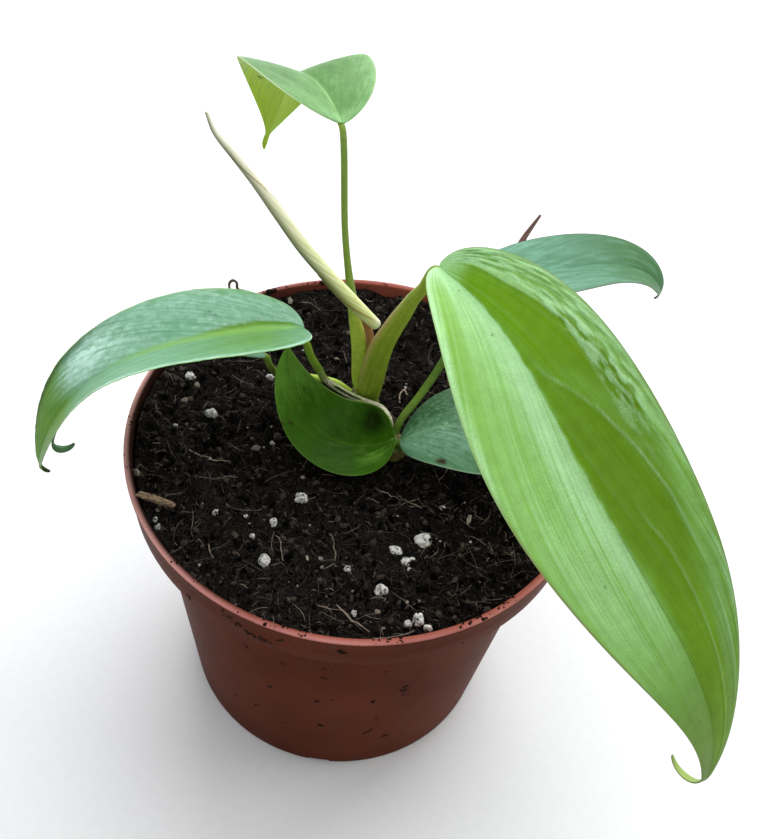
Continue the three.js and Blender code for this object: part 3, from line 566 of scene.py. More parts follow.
def blade(name, leaf, material, look):
    """The fine blade. look(u, v) gives its relief in mm and the masks that its material reads."""
    rows, columns = leaf["stations"] + 1, leaf["across"] + 1
    even = np.linspace(0, 1, rows)
    share = 0.5 * even + 0.5 * (0.5 - 0.5 * np.cos(np.pi * even))
    lengthwise = BLADE_ENDS[0] + (BLADE_ENDS[1] - BLADE_ENDS[0]) * share
    crosswise = np.sin(SPREAD * np.linspace(-1, 1, columns)) / math.sin(SPREAD)
    u, v = np.meshgrid(lengthwise, crosswise, indexing="ij")
    middle, normal = blade_surface(leaf, u, v)
    relief, masks = look(u, v)
    skin = SKIN * np.sqrt(1 - np.abs(v) ** 8) + EDGE_SKIN
    keel = RIB_SKIN * hill(v, 0, 0.05) * np.clip(1.1 - u, 0, 1)
    upper = middle + normal * (relief + skin)[..., None]
    lower = middle + normal * (relief - skin - keel)[..., None]
    count = rows * columns
    ring = border(rows, columns)
    following = np.roll(ring, -1)
    faces = np.concatenate([grid_faces(rows, columns)[:, ::-1], grid_faces(rows, columns, start=count),
                            np.stack([ring + count, following + count, following, ring], 1)])
    values = {key: np.tile(np.broadcast_to(m, u.shape).ravel(), 2) for key, m in masks.items()}
    values["top"] = np.repeat([1.0, 0.0], count)
    values["u"] = np.tile(u.ravel(), 2)
    values["v"] = np.tile(v.ravel(), 2)
    points = np.concatenate([upper.reshape(-1, 3), lower.reshape(-1, 3)])
    piece(name + "_blade", points, faces.tolist(), material, node=name, values=values)


def leaf_material(name, mid, pale, deep, rib, rim, under, roughness=0.42, streaks=0.35, grain=0.07,
                  specular=0.1):
    """Leaf skin: bands from the masks, painted sheen and painted shade, streaks along the veins, fine grain,
    midrib, margin and underside.
    """
    s = Shader(name, Specular_IOR_Level=specular)
    place = s.place()
    vein, side, deepness = s.attribute("vein"), s.attribute("v"), s.attribute("deep")
    streak = s.streaks(vein, side, 30, 1.5)
    broad = s.streaks(vein, side, 8, 0.8, 7, 2, 0.5)
    fine = s.streaks(vein, side, 110, 3, 3, 2)
    mottle, speckle = s.noise(place, 0.3, 3, 0.55), s.noise(place, 3.2, 2, 0.7)
    dots = s.noise(place, 2.2, 3, 0.8)
    light = s.add(s.mul(s.span(streak, 0.4, 0.66), 0.5), s.mul(s.span(broad, 0.42, 0.62), 0.9))
    fading = s.mul(s.span(deepness, 0, 1, 1, 0.2), s.span(s.attribute("u"), 0.35, 0.7, 1, 0.5))
    light = s.mul(s.mul(light, streaks), fading)
    edge = s.span(s.add(s.mul(speckle, 0.5), streak), 0.5, 1.0, -0.5, 0.5)
    # The pale mask, grained at its edges: paler skin and mostly a painted sheen.
    sheen_and_pale = s.attribute("pale")
    sheen_and_pale = s.add(sheen_and_pale, s.mul(edge, s.mul(s.mul(sheen_and_pale, s.math("SUBTRACT", 1.35, sheen_and_pale)), 2)))
    colour = s.mix(deepness, mid, deep)
    colour = s.mix(s.clamp(light), colour, pale)
    colour = s.mix(s.clamp(sheen_and_pale), colour, pale)
    shade = s.add(s.vary(mottle, 1 - grain, 1 + grain), s.vary(fine, -grain, grain))
    shade = s.add(shade, s.vary(speckle, -grain, grain))
    shade = s.add(shade, s.span(dots, 0.66, 0.76, 0, 0.22))
    # Darkened by the mask of painted shade.
    colour = s.tone(colour, s.mul(shade, s.math("SUBTRACT", 1.0, s.attribute("painted_shade"))))
    colour = s.mix(s.attribute("rib"), colour, rib)
    colour = s.mix(s.attribute("rim"), colour, rim)
    below = s.mix(s.mul(s.span(streak, 0.4, 0.65), 0.3), under, deep)
    below = s.mix(s.mul(s.attribute("rib"), 0.6), s.tone(below, s.vary(fine, 0.9, 1.1)), rib)
    colour = s.mix(s.attribute("top"), below, colour)
    colour = s.mix(s.attribute("spot"), colour, srgb(46, 34, 17))
    normal = s.bump(s.add(s.mul(streak, 0.6), s.mul(fine, 0.3)), 0.05)
    normal = s.bump(speckle, 0.02, normal)
    return s.finish(colour, normal, s.span(speckle, 0.2, 0.8, roughness - 0.1, roughness + 0.1))


# Leaf looks: each gives the masks of one leaf and what its relief gains, at u along and v across
def margin(v):
    return step(0.965, 0.995, np.abs(v))


def leaf_look(angle, rib_width, own=None, groove=0.18):
    """Veins at a shallow angle to the midrib, a slim midrib, a thin margin and the leaf's own look."""
    def look(u, v):
        nothing = np.zeros_like(u)
        masks = dict(vein=u - angle * np.abs(v) ** 0.85 + 0.4 * (v > 0),
                     rib=0.8 * hill(v, 0, rib_width) * step(1.0, 0.75, u),
                     rim=margin(v), pale=nothing, deep=nothing, spot=nothing, painted_shade=nothing)
        relief = -groove * hill(v, 0, 0.04) * step(0.98, 0.8, u)
        if own:
            own_masks, own_relief = own(u, v)
            masks.update(own_masks)
            relief = relief + own_relief
        for name in ("pale", "deep"):
            masks[name] = np.clip(masks[name], 0, 1)
        return relief, masks
    return look


def specks(u, v, length, half_width, spots):
    """Round marks at (u, v, radius in mm)."""
    total = 0
    for at_u, at_v, radius in spots:
        total = total + np.exp(-(((u - at_u) * length) ** 2 + ((v - at_v) * half_width) ** 2) / radius**2)
    return np.clip(total, 0, 1)


def patch(u, v, at_u, width_u, at_v, width_v):
    return hill(u, at_u, width_u) * hill(v, at_v, width_v)


def lines_along(u, v, lines):
    """Soft lines along a blade, each with its centre, half width, strength and window of u."""
    total = 0
    for centre, width, strength, ends in lines:
        total = total + strength * hill(v, centre, width) * window(u, *ends)
    return total


def bright_leaf(u, v):
    """The largest leaf: deep green between midrib and crease, painted sheen beside it, wrinkled at the
    shoulder with painted highlights and shade on the wrinkles.
    """
    crease_1 = np.interp(u, [0, 0.1, 0.14, 0.19, 0.23, 0.34, 0.5, 1],
                         [0.58, 0.56, 0.62, 0.72, 0.81, 0.85, 0.95, 1.1])
    crease_2 = np.interp(u, [0.15, 0.185, 0.23, 0.26, 0.3, 0.343, 0.385, 0.438, 0.49, 0.535, 0.64, 0.8],
                         [0.0, 0.07, 0.15, 0.29, 0.44, 0.55, 0.63, 0.7, 0.72, 0.74, 0.8, 0.9])
    crease_3 = np.interp(u, [0.4, 0.46, 0.5, 0.6, 0.7, 1], [0.3, 0.34, 0.43, 0.48, 0.52, 0.6])
    band_edge = np.interp(u, [0.3, 0.36, 0.44, 0.5, 0.56, 0.62, 0.7, 0.8, 0.9, 1],
                          [0.84, 0.82, 0.78, 0.72, 0.66, 0.58, 0.54, 0.6, 0.8, 1])
    band_edge = np.where(u < 0.3, crease_1, band_edge)
    ragged = 0.05 * (noise_at(u * 60, v * 10, 3, 3) - 0.5)
    past_band = step(0.0, 0.1, v - band_edge)
    outside = step(0.0, 0.08, v - band_edge) * window(u, 0.02, 0.1, 0.45, 0.65)
    shoulder = window(v, 0.6, 0.68, 0.9, 0.99) * window(u, 0.015, 0.04, 0.26, 0.42)
    flank = step(0.84, 0.9, v) * window(u, 0.2, 0.3, 0.6, 0.75)
    folds = noise_at(u * 50 + 7 * v, v * 34 - u * 40, 2, 5)
    lines = noise_at(u * 9, v * 40 - u * 26, 2, 15, 3)

    soft = np.interp(u, [0.3, 0.45, 0.6], [0.03, 0.12, 0.3])
    strength = np.interp(u, [0, 0.025, 0.05, 0.45, 0.6, 0.8, 1], [0, 0.3, 1, 1, 1, 0.8, 0.5])
    start = np.interp(u, [0, 0.05, 0.1], [0.12, 0.04, 0])
    entry = np.interp(u, [0.45, 0.75], [0.05, 0.35])
    deep = strength * step(-0.4 * entry, entry, v - start + ragged)
    deep *= 1 - 0.92 * step(-soft, soft, v - band_edge + ragged)
    deep += 0.3 * step(-0.45, -0.75, v) * step(0.6, 0.3, u) + step(0.5 + 0.1 * (v < 0), 0.84, u)
    deep -= 0.3 * deep * lines_along(u, v, [(crease_2 + 0.12, 0.1, 1, (0.2, 0.26, 0.4, 0.5))])
    # Painted shade in the hollows of the shoulder's wrinkles, and darker streaks at the flank.
    deep += 0.4 * shoulder * step(0.48, 0.36, folds) + 0.4 * flank * step(0.5, 0.4, lines)
    deep += lines_along(u, v, [(0.72, 0.05, 0.5, (0.02, 0.04, 0.08, 0.12))])

    # Mostly painted sheen: beside the midrib, in a patch on the left half, at the base and along the margins,
    # with painted highlights along the creases and on the crests of the shoulder's wrinkles.
    left_width = np.interp(u, [0, 0.06, 0.2, 0.5, 0.8, 1], [0.5, 0.34, 0.26, 0.2, 0.12, 0.1])
    pale = hill(v, -0.4 * left_width, left_width) * step(0.03, -0.01, v + ragged) * step(0.7, 0.42, u)
    pale *= 1 - 0.4 * step(0.2, 0.32, u) * step(-0.14, -0.04, v)
    pale += 0.42 * patch(u, v, 0.5, 0.12, -0.6, 0.26)
    pale += ((0.65 * step(0.3, 0.2, u) + 0.3) * step(0, 0.07, v - crease_1) * step(0.45, 0.3, u)
             * (1 - 0.2 * step(0.07, 0, u)))
    pale += 0.14 * past_band * window(u, 0.3, 0.45, 0.7, 0.95)
    pale += lines_along(u, v, [(crease_1, 0.02, 0.6, (0.03, 0.08, 0.4, 0.5)),
                               (crease_2, 0.014, 0.4, (0.19, 0.25, 0.6, 0.75)),
                               (crease_3, 0.016, 0.3, (0.42, 0.47, 0.7, 0.85))])
    pale += 0.8 * step(0.06, 0.0, u) + 0.7 * hill(v, -0.97, 0.07) * step(0.45, 0.25, u)
    pale += 0.6 * hill(v, 0.97, 0.05) * step(0.8, 0.5, u)
    pale += 0.8 * shoulder * step(0.46, 0.6, folds) - 0.5 * shoulder * step(0.5, 0.36, folds)
    pale -= 0.5 * flank * step(0.5, 0.4, lines)

    # Painted shade: on the deep band, down the blade and most at the tip; lighter past the band.
    right = step(-0.02, np.interp(u, [0.45, 0.7], [0.1, 0.5]), v)
    painted_shade = 0.2 * deep * right * window(u, 0.12, 0.34, 0.45, 0.65) + 0.08 * past_band
    painted_shade += right * (0.06 * step(0.42, 0.56, u) + 0.1 * step(0.58, 0.7, u))
    painted_shade += (1 - right) * (0.05 * step(0.4, 0.5, u) + 0.27 * step(0.55, 0.75, u))
    painted_shade += 0.25 * step(0.82, 0.95, u) - 0.12 * outside
    side_veins = [(at - 0.15 * u, 0.045, height, (0.04, 0.12, 0.5, 0.8))
                  for at, height in [(-0.3, 0.1), (-0.52, 0.08), (-0.72, 0.1), (-0.88, 0.08)]]
    relief = 1.2 * shoulder * (folds - 0.5) + lines_along(u, v, side_veins + [
        (crease_1, 0.05, 0.35, (0.02, 0.08, 0.4, 0.6)), (crease_2, 0.03, 0.25, (0.18, 0.28, 0.6, 0.85)),
        (crease_3, 0.04, 0.2, (0.42, 0.5, 0.8, 0.95))])
    return dict(
        deep=deep, pale=pale * (1 - 0.65 * outside), painted_shade=painted_shade,
        rib=0.6 * hill(v, 0.005, 0.01) * window(u, 0.4, 0.5, 0.9, 1),
        rim=margin(v) * (0.4 + 0.6 * (v < 0) * step(0.3, 0.5, u)),
        spot=0.8 * specks(u, v, 166, 21, [(0.06, -0.22, 0.35), (0.147, -0.19, 0.3),
                                          (0.5, -0.5, 0.25)])), relief


def left_leaf(u, v):
    """Blue-green above the midrib with a painted sheen, whitest where the blade turns down, greener below,
    with painted shade near the far margin.
    """
    rough, cloud = noise_at(u * 80, v * 18, 3, 13), noise_at(u * 9, v * 3, 2, 63)
    fold = np.interp(u, [0.12, 0.2, 0.3, 0.5, 0.6], [-0.25, -0.18, -0.11, -0.1, -0.06])
    below = step(-0.02, 0.04, v - fold)
    above_rib = hill(v, fold + 0.03, 0.06) * step(0.3, 0.2, u)
    deep = (0.7 * below * step(0.36, 0.14, u) * (1 - 0.3 * step(0.5, 0.8, v))
            * (0.35 + 0.65 * step(0.03, 0.14, u)))
    deep += 0.95 * step(0.6, 0.74, u) + 0.45 * below * step(0.48, 0.7, u) * step(0.5, 0.9, v)
    deep += 0.95 * above_rib * step(0.01, 0.04, u) + 0.2 * below * step(0.14, 0.36, u)
    deep += 0.4 * step(-0.75, -0.98, v) * step(0.5, 0.2, u) + 0.8 * step(-0.88, -0.98, v) * step(0.5, 0.62, u)
    # pale: a painted sheen, whitest where the blade turns down and mottled over the upper half, and a paler
    # lower margin.
    sheen = patch(u, v, 0.6, 0.085, -0.48, 0.32)
    pale = sheen * (0.95 + 1.6 * (rough - 0.5)) + 0.1 * below * hill(u, 0.45, 0.13)
    pale += (1 - below) * step(0.7, 0.55, u) * (0.12 + 0.5 * (rough - 0.5) + 0.25 * (cloud - 0.45))
    pale = np.clip(pale + 0.6 * hill(v, 0.97, 0.05) * step(0.7, 0.5, u), 0, 1)
    rib_place, rib_width = np.interp(u, [0.1, 0.3], [0.18, 0.07]), np.interp(u, [0.1, 0.3], [0.08, 0.05])
    # Painted shade: beside the fold above the midrib, towards the tip and along the far margin.
    painted_shade = 0.2 * above_rib + 0.14 * step(0.6, 0.75, u) + 0.5 * step(-0.72, -0.95, v) * step(0.45, 0.65, u)
    spot = 0.8 * step(0.94, 0.98, u) + 0.6 * specks(u, v, 90, 16, [(0.235, -0.42, 0.4), (0.25, -0.5, 0.3)])
    masks = dict(deep=deep - 0.3 * pale, pale=pale, painted_shade=painted_shade, spot=spot,
                 rib=0.7 * hill(v, fold + rib_place, rib_width) * window(u, 0, 0.05, 0.35, 0.62))
    return masks, 0.25 * (rough - 0.5) * step(0.0, 0.1, u)


def top_leaf(u, v):
    """The highest leaf: pale towards its margins, with a painted highlight at its base and painted shade on
    one flap.
    """
    grain = noise_at(u * 40, v * 14, 3, 23)
    pale = np.clip(0.45 * step(0.3, 1, np.abs(v)) + 0.2 * (v > 0) + 0.8 * (grain - 0.5), 0, 1)
    return dict(
        # pale: paler margins and a painted highlight at the base.
        pale=pale + 1.2 * step(0.07, 0.0, u) + 0.6 * hill(v, -1, 0.1),
        # Painted shade on one flap; below zero at the base it lightens, a painted highlight.
        painted_shade=(0.22 * step(0.05, 0.2, u) * step(0.2, 0.5, v)
             - 0.3 * step(0.05, 0.0, u) * step(0.5, 0.1, np.abs(v))),
        deep=0.5 * hill(v, -0.5, 0.3) * step(0.1, 0.3, u),
        rib=0.6 * hill(v, 0, 0.035) * step(0.35, 0.1, u),
        spot=specks(u, v, 90, 16, [(0.57, 0.61, 0.6), (0.565, 0.66, 0.4)])), 0


def cupped_leaf(u, v):
    """The dark leaf: nearly black at one side of its base, with a painted sheen at the other and a painted
    highlight towards its tip.
    """
    blotch = noise_at(u * 20, v * 6, 3, 33)
    # pale: a painted sheen near the base and a painted highlight towards the tip.
    pale = 0.75 * patch(u, v, 0.1, 0.09, 0.35, 0.3) * step(0.35, 0.6, blotch)
    return dict(
        deep=1.2 * patch(u, v, 0.13, 0.09, -0.62, 0.32) + 0.3 * hill(u, 0.3, 0.16) + 0.5 * (blotch - 0.5),
        pale=pale + 1.1 * step(0.55, 0.9, u) + 0.5 * (blotch - 0.5),
        rib=0.3 * hill(v, 0, 0.03) * step(0.65, 0.45, u),
        rim=margin(v) * (0.2 + 0.6 * (v < 0)),
        spot=specks(u, v, 49, 12, [(0.565, 0.6, 0.6), (0.575, 0.7, 0.45), (0.585, 0.97, 0.6),
                                   (0.708, -0.43, 0.45), (0.378, -0.07, 0.25), (0.283, -0.18, 0.25),
                                   (0.3, -0.3, 0.3)])), 0


def small_leaf(u, v):
    """The small leaf: mottled, with pale flecks and a crumb of soil at its margin."""
    grain = noise_at(u * 60, v * 30, 3, 43)
    flecks = specks(u, v, 47, 15, [(0.268, -0.07, 0.5), (0.235, 0.2, 0.3), (0.235, 0.48, 0.35),
                                   (0.11, -0.47, 0.4), (0.198, -0.79, 0.4), (0.28, 0.05, 0.4),
                                   (0.25, -0.02, 0.4)])
    return dict(
        deep=0.8 * step(0.1, 0.5, v) * step(0.5, 0.2, u) + 0.8 * (0.5 - grain),
        pale=0.9 * (grain - 0.4) * step(-0.9, -0.5, v) + 0.3 * hill(v, -0.35, 0.35) + flecks,
        rib=0.45 * hill(v, 0, 0.035) * step(0.4, 0.2, u),
        spot=specks(u, v, 47, 15, [(0.265, -0.88, 0.9), (0.265, -0.88, 0.7), (0.24, -0.9, 0.6)])), 0


def right_leaf(u, v):
    """The leaf at the back right: paler at its base, greener towards its tip, with no lighter midrib."""
    grain = noise_at(u * 12, v * 12, 3, 53)
    return dict(
        deep=0.9 * step(0.45, 0.75, u) + 0.6 * (0.55 - grain),
        pale=0.35 * step(0.5, 0.2, u) + 0.8 * (grain - 0.5),
        rib=0 * u,
        spot=specks(u, v, 59, 12, [(0.39, -0.39, 0.25), (0.635, -0.73, 0.25)])), 0


# Leaf node: slot, look and colours
# pale in each leaf's colours is paler skin and mostly the colour of its painted sheen.
LOOKS = {
    "leaf_1_front_right": ("leaf_bright", leaf_look(0.9, 0.02, bright_leaf, 0.04), dict(
        mid=srgb(126, 180, 72), pale=srgb(178, 226, 164), deep=srgb(116, 162, 20), rib=srgb(84, 120, 30),
        rim=srgb(130, 140, 84), under=srgb(170, 190, 110), streaks=0.36, roughness=0.38)),
    "leaf_2_left": ("leaf_blue_green", leaf_look(0.6, 0.05, left_leaf, 0.08), dict(
        mid=srgb(108, 162, 124), pale=srgb(196, 236, 218), deep=srgb(100, 150, 36), rib=srgb(150, 202, 104),
        rim=srgb(150, 190, 130), under=srgb(80, 128, 50), streaks=0.15)),
    # The top leaf's underside is painted bright yellow-green: the glow of light shining through it.
    "leaf_3_top": ("leaf_pale", leaf_look(0.5, 0.03, top_leaf, 0.08), dict(
        mid=srgb(92, 140, 72), pale=srgb(126, 172, 110), deep=srgb(82, 128, 58), rib=srgb(165, 205, 130),
        rim=srgb(170, 190, 150), under=srgb(166, 204, 2), streaks=0.12, grain=0.1, specular=0.12)),
    "leaf_4_right": ("leaf_blue_green", leaf_look(0.9, 0.03, right_leaf), dict(
        mid=srgb(80, 126, 94), pale=srgb(120, 170, 146), deep=srgb(66, 108, 62), rib=srgb(110, 150, 90),
        rim=srgb(90, 90, 80), under=srgb(110, 140, 90), streaks=0.3)),
    "leaf_5_small": ("leaf_blue_green", leaf_look(0.7, 0.03, small_leaf), dict(
        mid=srgb(68, 112, 72), pale=srgb(124, 166, 142), deep=srgb(48, 88, 44), rib=srgb(140, 184, 130),
        rim=srgb(120, 150, 120), under=srgb(70, 100, 60), streaks=0.25)),
    "leaf_6_cupped": ("leaf_dark", leaf_look(0.7, 0.03, cupped_leaf, 0.08), dict(
        mid=srgb(44, 84, 2), pale=srgb(90, 136, 46), deep=srgb(14, 30, 1), rib=srgb(84, 124, 30),
        rim=srgb(140, 165, 84), under=srgb(60, 105, 30), streaks=0.1, grain=0.12, specular=0.06)),
    "leaf_7_under": ("leaf_blue_green", leaf_look(0.7, 0.05), dict(
        mid=srgb(100, 150, 118), pale=srgb(130, 175, 150), deep=srgb(70, 110, 60), rib=srgb(120, 150, 90),
        rim=srgb(80, 90, 60), under=srgb(84, 125, 80))),
}
SHORT_STALKS = ("leaf_5_small", "leaf_6_cupped")


# Stalks
def stalk_material(name, colour, dark, blush, crust=False):
    """Fresh stalk with lengthwise streaks. The blush mask paints another tone, a dry crust where crust is
    set, and below zero the near-black of painted shade.
    """
    s = Shader(name, roughness=0.38, Specular_IOR_Level=0.25)
    t, angle, mask = s.attribute("t"), s.attribute("angle"), s.attribute("blush")
    streak = s.streaks(t, angle, 4, 6)
    mottle, flake = s.noise(s.place(), 0.9, 3), s.noise(s.place(), 3.5, 2, 0.7)
    tone = s.mix(s.span(streak, 0.35, 0.65), dark, colour)
    if crust:
        blush = s.mix(s.span(flake, 0.4, 0.56), srgb(124, 114, 92), blush)
        # Painted shade: near black in the gap between the old skin's edges.
        tone = s.mix(s.span(mask, 0, -0.6), tone, srgb(30, 26, 20))
    tone = s.mix(s.clamp(mask), tone, blush)
    tone = s.tone(tone, s.add(s.vary(mottle, 0.88, 1.12), s.vary(flake, -0.05, 0.05)))
    return s.finish(tone, s.bump(s.add(streak, s.mul(flake, 0.3)), 0.08))


def thick_stalk(t, angle):
    """The largest leaf's stalk: a little flat, with a ridge along its lower half."""
    ridge = hill(np.mod(angle, 2 * np.pi), np.pi, 0.35) * step(0.55, 0.45, t)
    return 1 + 0.08 * np.cos(2 * angle) + 0.12 * ridge


def sheathed_stalk(t, angle):
    """The highest leaf's stalk: a sheath swells one side near its base."""
    return 1 + 0.75 * hill(np.cos(angle), 1, 0.5) * hill(t, 0.2, 0.1) + 0.06 * np.cos(3 * angle)


def stalk_blush(name, t, out):
    """Where a stalk has its second tone, and below zero the painted shade in the gap between the old skin's
    edges.
    """
    if name == "leaf_1_front_right":
        return 0.55 * window(t, 0.05, 0.3, 0.45, 0.6) * step(0.78, 0.97, -out[:, 0])
    if name == "leaf_2_left":
        facing, sheath = out @ np.array([0.1, -0.6, 0.79]), step(0.56, 0.5, t)
        # Whitish old skin on its upper side, with painted shade in the gap down its middle.
        return sheath * (step(0.2, 0.6, facing) - 2 * step(0.86, 0.97, facing))
    return 0.9 * step(0.42, 0.25, t)


def make_stalk(name, leaf, material):
    """A stalk that runs on under the blade's midrib, ever slimmer."""
    surface, normal = blade_surface(leaf, np.array([0.02, 0.06, 0.14]), np.zeros(3))
    end = leaf["stalk"][-1][3]
    shares = [0.5] if name in SHORT_STALKS else [0.9, 0.6, 0.3]
    under = [[*(surface[i] - normal[i] * (end * share + 0.1)), end * share] for i, share in enumerate(shares)]
    section = {"leaf_1_front_right": thick_stalk, "leaf_3_top": sheathed_stalk}.get(name)
    points, faces, values, out = tube(leaf["stalk"] + under, 140, 24, section)
    values["blush"] = stalk_blush(name, values["t"], out)
    piece(name + "_stalk", points, faces, material, node=name, values=values)


def make_leaves():
    green = stalk_material("stalk_green", srgb(140, 166, 70), srgb(108, 138, 52), srgb(190, 216, 84))
    thick = stalk_material("stalk_thick", srgb(154, 174, 54), srgb(124, 148, 40), srgb(204, 156, 120))
    crusty = stalk_material("stalk_old_sheath", srgb(134, 168, 54), srgb(104, 140, 38), srgb(232, 226, 200),
                            crust=True)
    shaded = stalk_material("stalk_shaded", srgb(92, 124, 42), srgb(72, 102, 32), srgb(108, 138, 48))
    stalks = {"leaf_1_front_right": thick, "leaf_2_left": crusty, "leaf_3_top": green, "leaf_4_right": shaded,
              "leaf_5_small": shaded, "leaf_6_cupped": shaded, "leaf_7_under": green}
    for name, own in LEAVES.items():
        leaf = USUAL_LEAF | own
        slot, look, colours = LOOKS[name]
        blade(name, leaf, leaf_material(name, **colours), look)
        make_stalk(name, leaf, stalks[name])


# Rolled new leaf
SPEAR_TURNS, SPEAR_STEP = 1.6, 0.16
SPEAR_SHADED_SIDE = np.array([-0.66, -0.4, -0.64])


def make_spear():
    """The rolled leaf, whose outer edge winds round it as a low step, and its stalk."""
    def section(t, angle):
        return 1 + SPEAR_STEP * (np.mod(angle / (2 * np.pi) + SPEAR_TURNS * t, 1) - 0.5)
    points, faces, values, out = tube(SPEAR, 200, 36, section)
    values["shade"] = step(-0.3, 0.85, out @ SPEAR_SHADED_SIDE) * step(0.02, 0.25, values["t"])
    s = Shader("rolled_leaf", roughness=0.4)
    t = s.attribute("t")
    round_it = s.math("FRACT", s.add(s.mul(s.attribute("angle"), 1 / (2 * math.pi)), s.mul(t, SPEAR_TURNS)))
    streak = s.streaks(round_it, t, 16, 2)
    colour = s.mix(s.span(streak, 0.4, 0.62), srgb(204, 216, 114), srgb(250, 252, 200))
    colour = s.mix(s.span(t, 0.2, 0.75, 0, 0.85), colour, srgb(252, 248, 224))
    colour = s.mix(s.span(round_it, 0.93, 1.0), colour, srgb(150, 120, 80))
    colour = s.mix(s.span(t, 0.05, 0.0, 0, 0.8), colour, srgb(228, 226, 200))
    colour = s.mix(s.mul(s.attribute("shade"), 0.85), colour, srgb(92, 90, 50))
    piece("new_leaf_roll", points, faces, s.finish(colour, s.bump(streak, 0.05)), node="new_leaf_rolled",
          values=values)
    points, faces, values, _ = tube(SPEAR_STALK, 80, 16)
    values["blush"] = 0.6 * step(0.5, 0.1, values["t"])
    red = stalk_material("red_stalk", srgb(190, 134, 92), srgb(160, 108, 74), srgb(130, 140, 60))
    piece("new_leaf_stalk", points, faces, red, node="new_leaf_rolled", values=values)


# Stems, bract, dead root and bark
STEM_ROWS = 40
BRACT_GROOVE = 4.6
CHIP_RINGS, CHIP_SIDES = 60, 28


def noise_lumps(points, scale, octaves, seed):
    """Noise at each point, from -0.5 to 0.5."""
    return fractal(points * scale, octaves, seed)[..., None] - 0.5


def make_stems():
    s = Shader("stem_skin", roughness=0.5)
    rough = s.noise(s.stretch(s.place(), 1, 1, 0.5), 0.7, 4, 0.6)
    skin = s.two_tone(rough, 0.4, 0.6, srgb(120, 128, 50), srgb(84, 70, 40), 0.4)
    profile = curve_through([[r, z, 0] for r, z in STEM_PROFILE], STEM_ROWS)
    a = np.linspace(0, 2 * np.pi, STEM_ROWS, endpoint=False)
    for name, p in STEMS.items():
        x = np.maximum(profile[:, :1], 0.001) * np.cos(a) * p["half_length"]
        y = np.maximum(profile[:, :1], 0.001) * np.sin(a) * p["half_width"]
        z = np.broadcast_to(p["bottom"] + np.clip(profile[:, 1:2], 0, 1) * (p["top"] - p["bottom"]), x.shape)
        ring = turned(np.stack([x, y, z], -1), p["turn"], 0, 1) + [p["x"], p["y"], 0]
        bumps = noise_lumps(ring, 0.6, 3, 11)
        ring = ring + bumps * (ring - [p["x"], p["y"], 86]) * 0.12
        faces = grid_faces(STEM_ROWS, STEM_ROWS, closed=True).tolist() + end_caps(STEM_ROWS, STEM_ROWS)
        piece(name + "_skin", ring.reshape(-1, 3), faces, skin, node=name)


def make_bract():
    def section(t, angle):
        return 1 - 0.25 * hill(angle, BRACT_GROOVE, 0.5) + 0.05 * np.cos(5 * angle + 9 * t)
    s = Shader("dry_bract", roughness=0.75)
    streak = s.streaks(s.attribute("t"), s.attribute("angle"), 3, 4, roughness=0.65)
    skin = s.two_tone(streak, 0.4, 0.62, srgb(66, 46, 42), srgb(150, 112, 104), 0.2)
    points, faces, values, _ = tube(BRACT, 90, 18, section)
    piece("dried_bract_skin", points, faces, skin, node="dried_bract", values=values)


def make_dead_root():
    s = Shader("dead_thread", roughness=0.85)
    rough = s.noise(s.place(), 2.2, 3)
    thread = s.finish(s.mix(rough, srgb(40, 30, 24), srgb(104, 82, 66)), s.bump(rough, 0.1))
    points, faces, *_ = tube(DEAD_ROOT, 120, 10)
    points = points + noise_lumps(points, 1.3, 2, 4) * 0.2
    piece("dead_root_skin", points, faces, thread, node="dead_root")


def make_bark_chip():
    """A splinter with blunt ends and a ragged outline, tilted so that one end lies on the lip."""
    def square(c):
        return np.sign(c) * np.abs(c) ** 0.6
    s = Shader("bark", roughness=0.85)
    lengthwise = s.node("ShaderNodeVectorRotate", {"Vector": s.place(), "Angle": -math.radians(CHIP["turn"])})
    grain = s.noise(s.stretch(lengthwise.outputs[0], 0.35, 2.2, 2.2), 1, 4, 0.65)
    bark = s.two_tone(grain, 0.38, 0.64, srgb(58, 42, 32), srgb(168, 140, 108), 0.35)
    t = np.linspace(-0.5, 0.5, CHIP_RINGS)
    low = np.interp(t, [-0.5, 0, 0.46, 0.5], [-0.3, -0.5, -0.34, 0.1])
    high = np.interp(t, [-0.5, -0.42, -0.1, 0.3, 0.5], [-0.28, 0.35, 0.5, 0.42, 0.15])
    a = np.linspace(0, 2 * np.pi, CHIP_SIDES, endpoint=False)
    y = ((low + high) / 2)[:, None] + ((high - low) / 2)[:, None] * square(np.cos(a))
    blunt = np.clip((0.5 - np.abs(t)) / 0.03, 0.25, 1)[:, None]
    z = 0.5 * square(np.sin(a)) * blunt * np.ones((CHIP_RINGS, 1))
    x = np.broadcast_to(t[:, None], y.shape)
    p = np.stack([x * CHIP["length"], y * CHIP["width"], z * CHIP["thickness"]], -1)
    rough = fractal(p * [0.8, 2.4, 2.4], 3, 8)[..., None] - 0.6
    p = p * (1 + 0.35 * rough * [0.1, 1, 1]) * [1, 0.7, 0.9]
    p = turned(turned(p, -CHIP["tilt"], 0, 2), CHIP["turn"], 0, 1) + [CHIP["x"], CHIP["y"], CHIP["z"]]
    faces = grid_faces(CHIP_RINGS, CHIP_SIDES, closed=True).tolist() + end_caps(CHIP_RINGS, CHIP_SIDES)
    piece("bark_chip_skin", p.reshape(-1, 3), faces, bark, node="bark_chip")


# Soil
SOIL_LEVEL, SOIL_RELIEF, SOIL_TOP_RADIUS = 91, 0.9, 57.4
# Below its surface the soil narrows to fit the pot: radius and height
SOIL_SIDE = [(56.7, 85.3), (51.1, 82.8), (41.7, 3.7)]
SOIL_HEAP = 2.6
SOIL_GRID, CRUMBS, STRANDS, GRAINS = 260, 6000, 3400, 40
STRAND_ROWS, STRAND_SIDES = 9, 3


